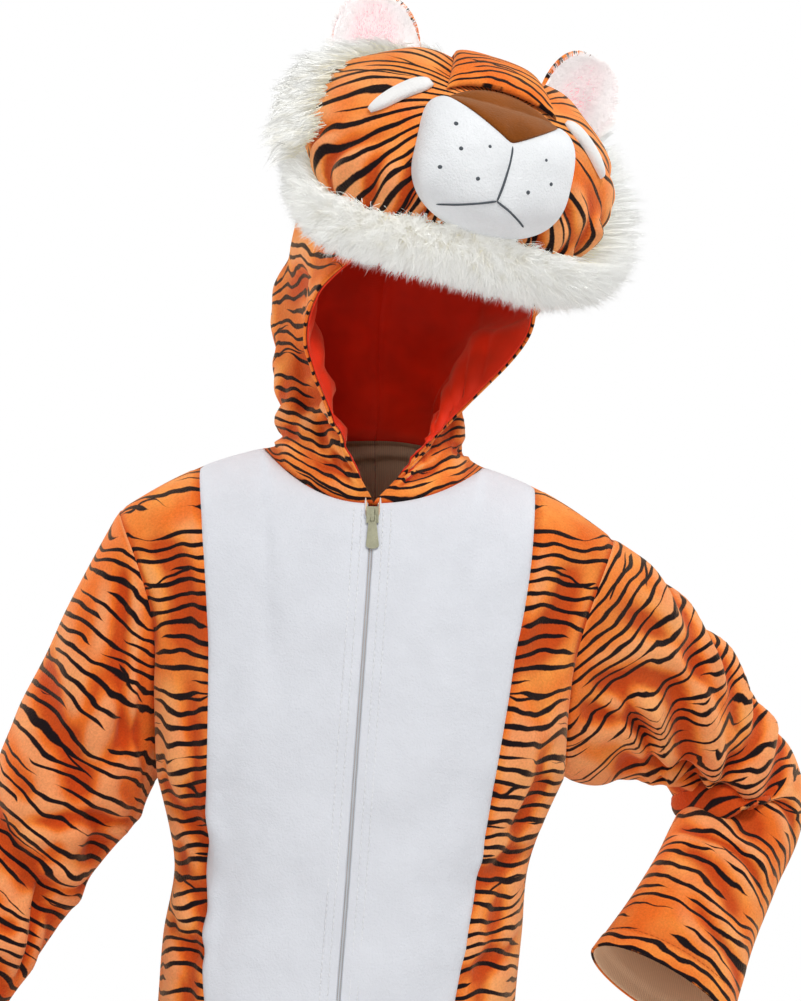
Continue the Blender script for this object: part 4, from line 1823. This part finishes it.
class COSTUME_OT_fur(Operator):
    """Long-pile fur round the cheeks and the brow, combed out from the face."""
    bl_idname = "costume.fur"
    bl_label = "Fur trim"

    def execute(self, context):
        ground = fur_ground()
        pile = fibre("Long-pile fur, acrylic", colours().fur_root, colours().fur, rough=0.55)
        angle = np.linspace(*FUR_ANGLES, 160)
        base, away, direction, ends, cheek = (part[:, None] for part in trim_line(angle))
        phi = np.linspace(-0.35, pi * 0.62, 20)
        reach = np.cos(phi) * FUR_REACH * 0.50 * ends
        tall = np.sin(np.clip(phi, 0, 2)) * (FUR_OUT + cheek) * 0.50 * ends
        hump = reach[..., None] * away + tall[..., None] * direction
        lumps = ripple(angle[:, None] * 0.09, phi[None] * 0.02, 0.012, 5.0) * 0.0016
        outer = base + away * 0.004 + hump + unit(hump + 1e-6) * lumps[..., None]
        inner = base + away * 0.004 + direction * SEAT + hump * 0.12
        piece = shell("fur_ground_band", head(outer), head(inner), ground)
        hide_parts("fur_trim")
        rng = np.random.default_rng(4)
        stops = (FUR_ANGLES[0], radians(222), radians(318), FUR_ANGLES[1])
        for number, (low, high) in enumerate(zip(stops, stops[1:])):
            trim_stretch(number, low, high, pile, rng)
        trim_brow(pile, rng)
        return {"FINISHED"}


def make_coil(levels, finish):
    """Interlocked loops of the coil, left and right in turn."""
    line = zip_line(np.array((-CHAIN_HALF, 0.0, CHAIN_HALF)), levels, CHAIN_DEPTH)
    run = run_along(line[:, 1])
    verts, faces = [], []
    down = np.array((0.0, 0.0, -1.0))
    for number, at in enumerate(np.arange(0.0008, run[-1] - 0.0008, TOOTH_PITCH / 2)):
        left, middle, right = (read_path(at, run, line[:, column]) for column in range(3))
        side = unit(right - left) * (1 if number % 2 else -1)
        out = unit(np.cross(side, down))
        out = out * -np.sign(out[1])
        faces += ring_faces(len(verts), len(TOOTH_RINGS), len(TOOTH_SHAPE))
        for reach, thick in TOOTH_RINGS:
            for a, b in TOOTH_SHAPE:
                verts.append(middle + side * reach + (down * a * 0.00030 + out * b * 0.00055) * thick)
    return new_mesh("zip_coil", verts, faces, finish)


class COSTUME_OT_zip(Operator):
    """Tapes, coil teeth, topstitching, slider and pull tab."""
    bl_idname = "costume.zip"
    bl_label = "Zip"

    def execute(self, context):
        tape, nylon, metal = woven_tape(), moulded_nylon(), plated_zinc()
        thread = spun_thread("Polyester thread, white", "#F4F5F8")
        levels = zip_levels(ZIP_END_Z, ZIP_TOP_Z)
        for hand, word in WORDS.items():
            offsets = np.linspace(hand * TAPE_INNER, hand * TAPE_OUTER, 7)
            outer = zip_line(offsets, levels, TAPE_DEPTH)
            inner = zip_line(offsets, levels, TAPE_DEPTH + TAPE)
            piece = shell(f"zip_tape_{word}_woven", outer, inner, tape)
            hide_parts(f"zip_tape_{word}")
            width, length, area = cut_of(outer)
            for row, offset in (("near", 0.0075), ("far", 0.0130)):
                path = zip_line(np.array((hand * offset, hand * (offset + 0.001))), levels, -0.0001)[:, 0]
                up = np.tile((0.0, -1.0, 0.0), (len(path), 1))
                stitches(f"topstitch_{word}_{row}", path, up, sizes().stitch, 0.0009, thread)
        piece = make_coil(levels, nylon)
        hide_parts("zip_chain")
        for name in ("slider", "pull_tab"):
            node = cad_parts[name]
            node.data.materials.clear()
            node.data.materials.append(metal)
            bevel = node.modifiers.new("soft edges", "BEVEL")
            bevel.width = 0.00035
            bevel.segments = 3
            bevel.limit_method = "ANGLE"
        return {"FINISHED"}


def hem_stitches(name, points, inward, thread):
    """Stitches round a tube, a hem's width above its edge."""
    v = arc_grids(points)[1]
    at = np.argmin(np.abs(v[-1:] - v - HEM_WIDTH + 0.0015), axis=0)
    column = np.arange(points.shape[1])
    into = inward[at, column]
    stitches(name, points[at, column] + into * 0.0004, -into, sizes().stitch, 0.0010, thread)


class COSTUME_OT_seams(Operator):
    """Topstitching along the cuffs, hems and the edge of the hood."""
    bl_idname = "costume.seams"
    bl_label = "Hem stitching"

    def execute(self, context):
        thread = spun_thread("Polyester thread, orange", "#C4601F")
        for hand, word in WORDS.items():
            points, inward = sleeve_grid(hand)[:2]
            hem_stitches(f"cuff_{word}_stitching", closed(points), closed(inward), thread)
            for part, (points, inward) in leg_grids(hand).items():
                hem_stitches(f"hem_{word}_{part}_stitching", points, inward, thread)
        return {"FINISHED"}


def studio_lights(setting):
    for name, place, size, power in STUDIO_LIGHTS:
        lamp = bpy.data.lights.new(name, "AREA")
        lamp.shape = "RECTANGLE"
        lamp.size, lamp.size_y = size
        lamp.energy = power * setting.light
        item = in_scene(name, lamp)
        item.location = place
        x, y, z = np.array((0.0, 0.0, -0.15)) - np.array(place)
        item.rotation_euler = (pi / 2 + atan2(z, hypot(x, y)), 0,
                               atan2(y, x) - pi / 2)


def white_surroundings(context):
    world = bpy.data.worlds.new("white surroundings")
    context.scene.world = world
    world.use_nodes = True
    world.node_tree.nodes.clear()
    add = partial(add_node, world.node_tree)
    white = (1.0, 1.0, 1.0, 1.0)
    seen = add("LightPath").outputs["Is Camera Ray"]
    pick = add("MixShader", (seen, add("Background", (white, WORLD_LIGHT)), add("Background", (white, 1.0))))
    add("OutputWorld", (pick,))


class COSTUME_OT_stage(Operator):
    """Pale floor, white surroundings, large soft lights and the camera."""
    bl_idname = "costume.stage"
    bl_label = "Studio"

    def execute(self, context):
        setting = context.scene.tiger_costume_stage
        finish, add, shader = new_material("Pale studio floor, matt paint")
        grain = add("TexNoise", {"Vector": add("TexCoord").outputs["Object"], "Scale": 8.0, "Detail": 3.0})
        set_shader(shader, Base_Color=tinted(add, "#FFFFFF", grain, 0, 1, 0.86, 0.90), Roughness=0.8)
        mesh = bpy.data.meshes.new("studio_floor")
        turn = np.linspace(0, 2 * pi, 97)[:-1]
        ring = [(2.6 * cos(a), 2.6 * sin(a), FLOOR_Z) for a in turn]
        mesh.from_pydata(ring, [], [tuple(range(96))])
        mesh.materials.append(finish)
        in_scene("studio_floor", mesh)
        studio_lights(setting)
        white_surroundings(context)
        camera = in_scene("camera", bpy.data.cameras.new("camera"))
        camera.data.lens = setting.lens
        camera.data.sensor_width = 36
        camera.location = (setting.side, -setting.distance, setting.height)
        camera.rotation_euler = (pi / 2, 0, 0)
        camera.data.clip_end = 50
        context.scene.camera = camera
        context.scene.view_settings.view_transform = "Standard"
        return {"FINISHED"}


STEPS = (COSTUME_OT_body, COSTUME_OT_sleeves, COSTUME_OT_legs, COSTUME_OT_hood, COSTUME_OT_face,
         COSTUME_OT_muzzle, COSTUME_OT_ears, COSTUME_OT_fur, COSTUME_OT_zip, COSTUME_OT_seams,
         COSTUME_OT_stage)


class COSTUME_PT_panel(Panel):
    """Sizes, colours and steps of the costume."""
    bl_idname = "COSTUME_PT_panel"
    bl_label = "Tiger Costume"
    bl_space_type = "VIEW_3D"
    bl_region_type = "UI"
    bl_category = "Tiger Costume"

    def draw(self, context):
        for group in ("tiger_costume_sizes", "tiger_costume_colours", "tiger_costume_stage"):
            box = self.layout.box()
            values = getattr(context.scene, group)
            for name in values.__annotations__:
                box.prop(values, name)
        for step in STEPS:
            self.layout.operator(step.bl_idname)


GROUPS = {"tiger_costume_sizes": CostumeSizes, "tiger_costume_colours": CostumeColours,
          "tiger_costume_stage": StageSettings}


def register():
    for kind in (*GROUPS.values(), *STEPS, COSTUME_PT_panel):
        bpy.utils.register_class(kind)
    for name, kind in GROUPS.items():
        setattr(bpy.types.Scene, name, PointerProperty(type=kind))


def unregister():
    for name in GROUPS:
        delattr(bpy.types.Scene, name)
    for kind in reversed((*GROUPS.values(), *STEPS, COSTUME_PT_panel)):
        bpy.utils.unregister_class(kind)


def main():
    register()
    for step in STEPS:
        group, name = step.bl_idname.split(".")
        getattr(getattr(bpy.ops, group), name)()


if __name__ == "__main__":
    main()
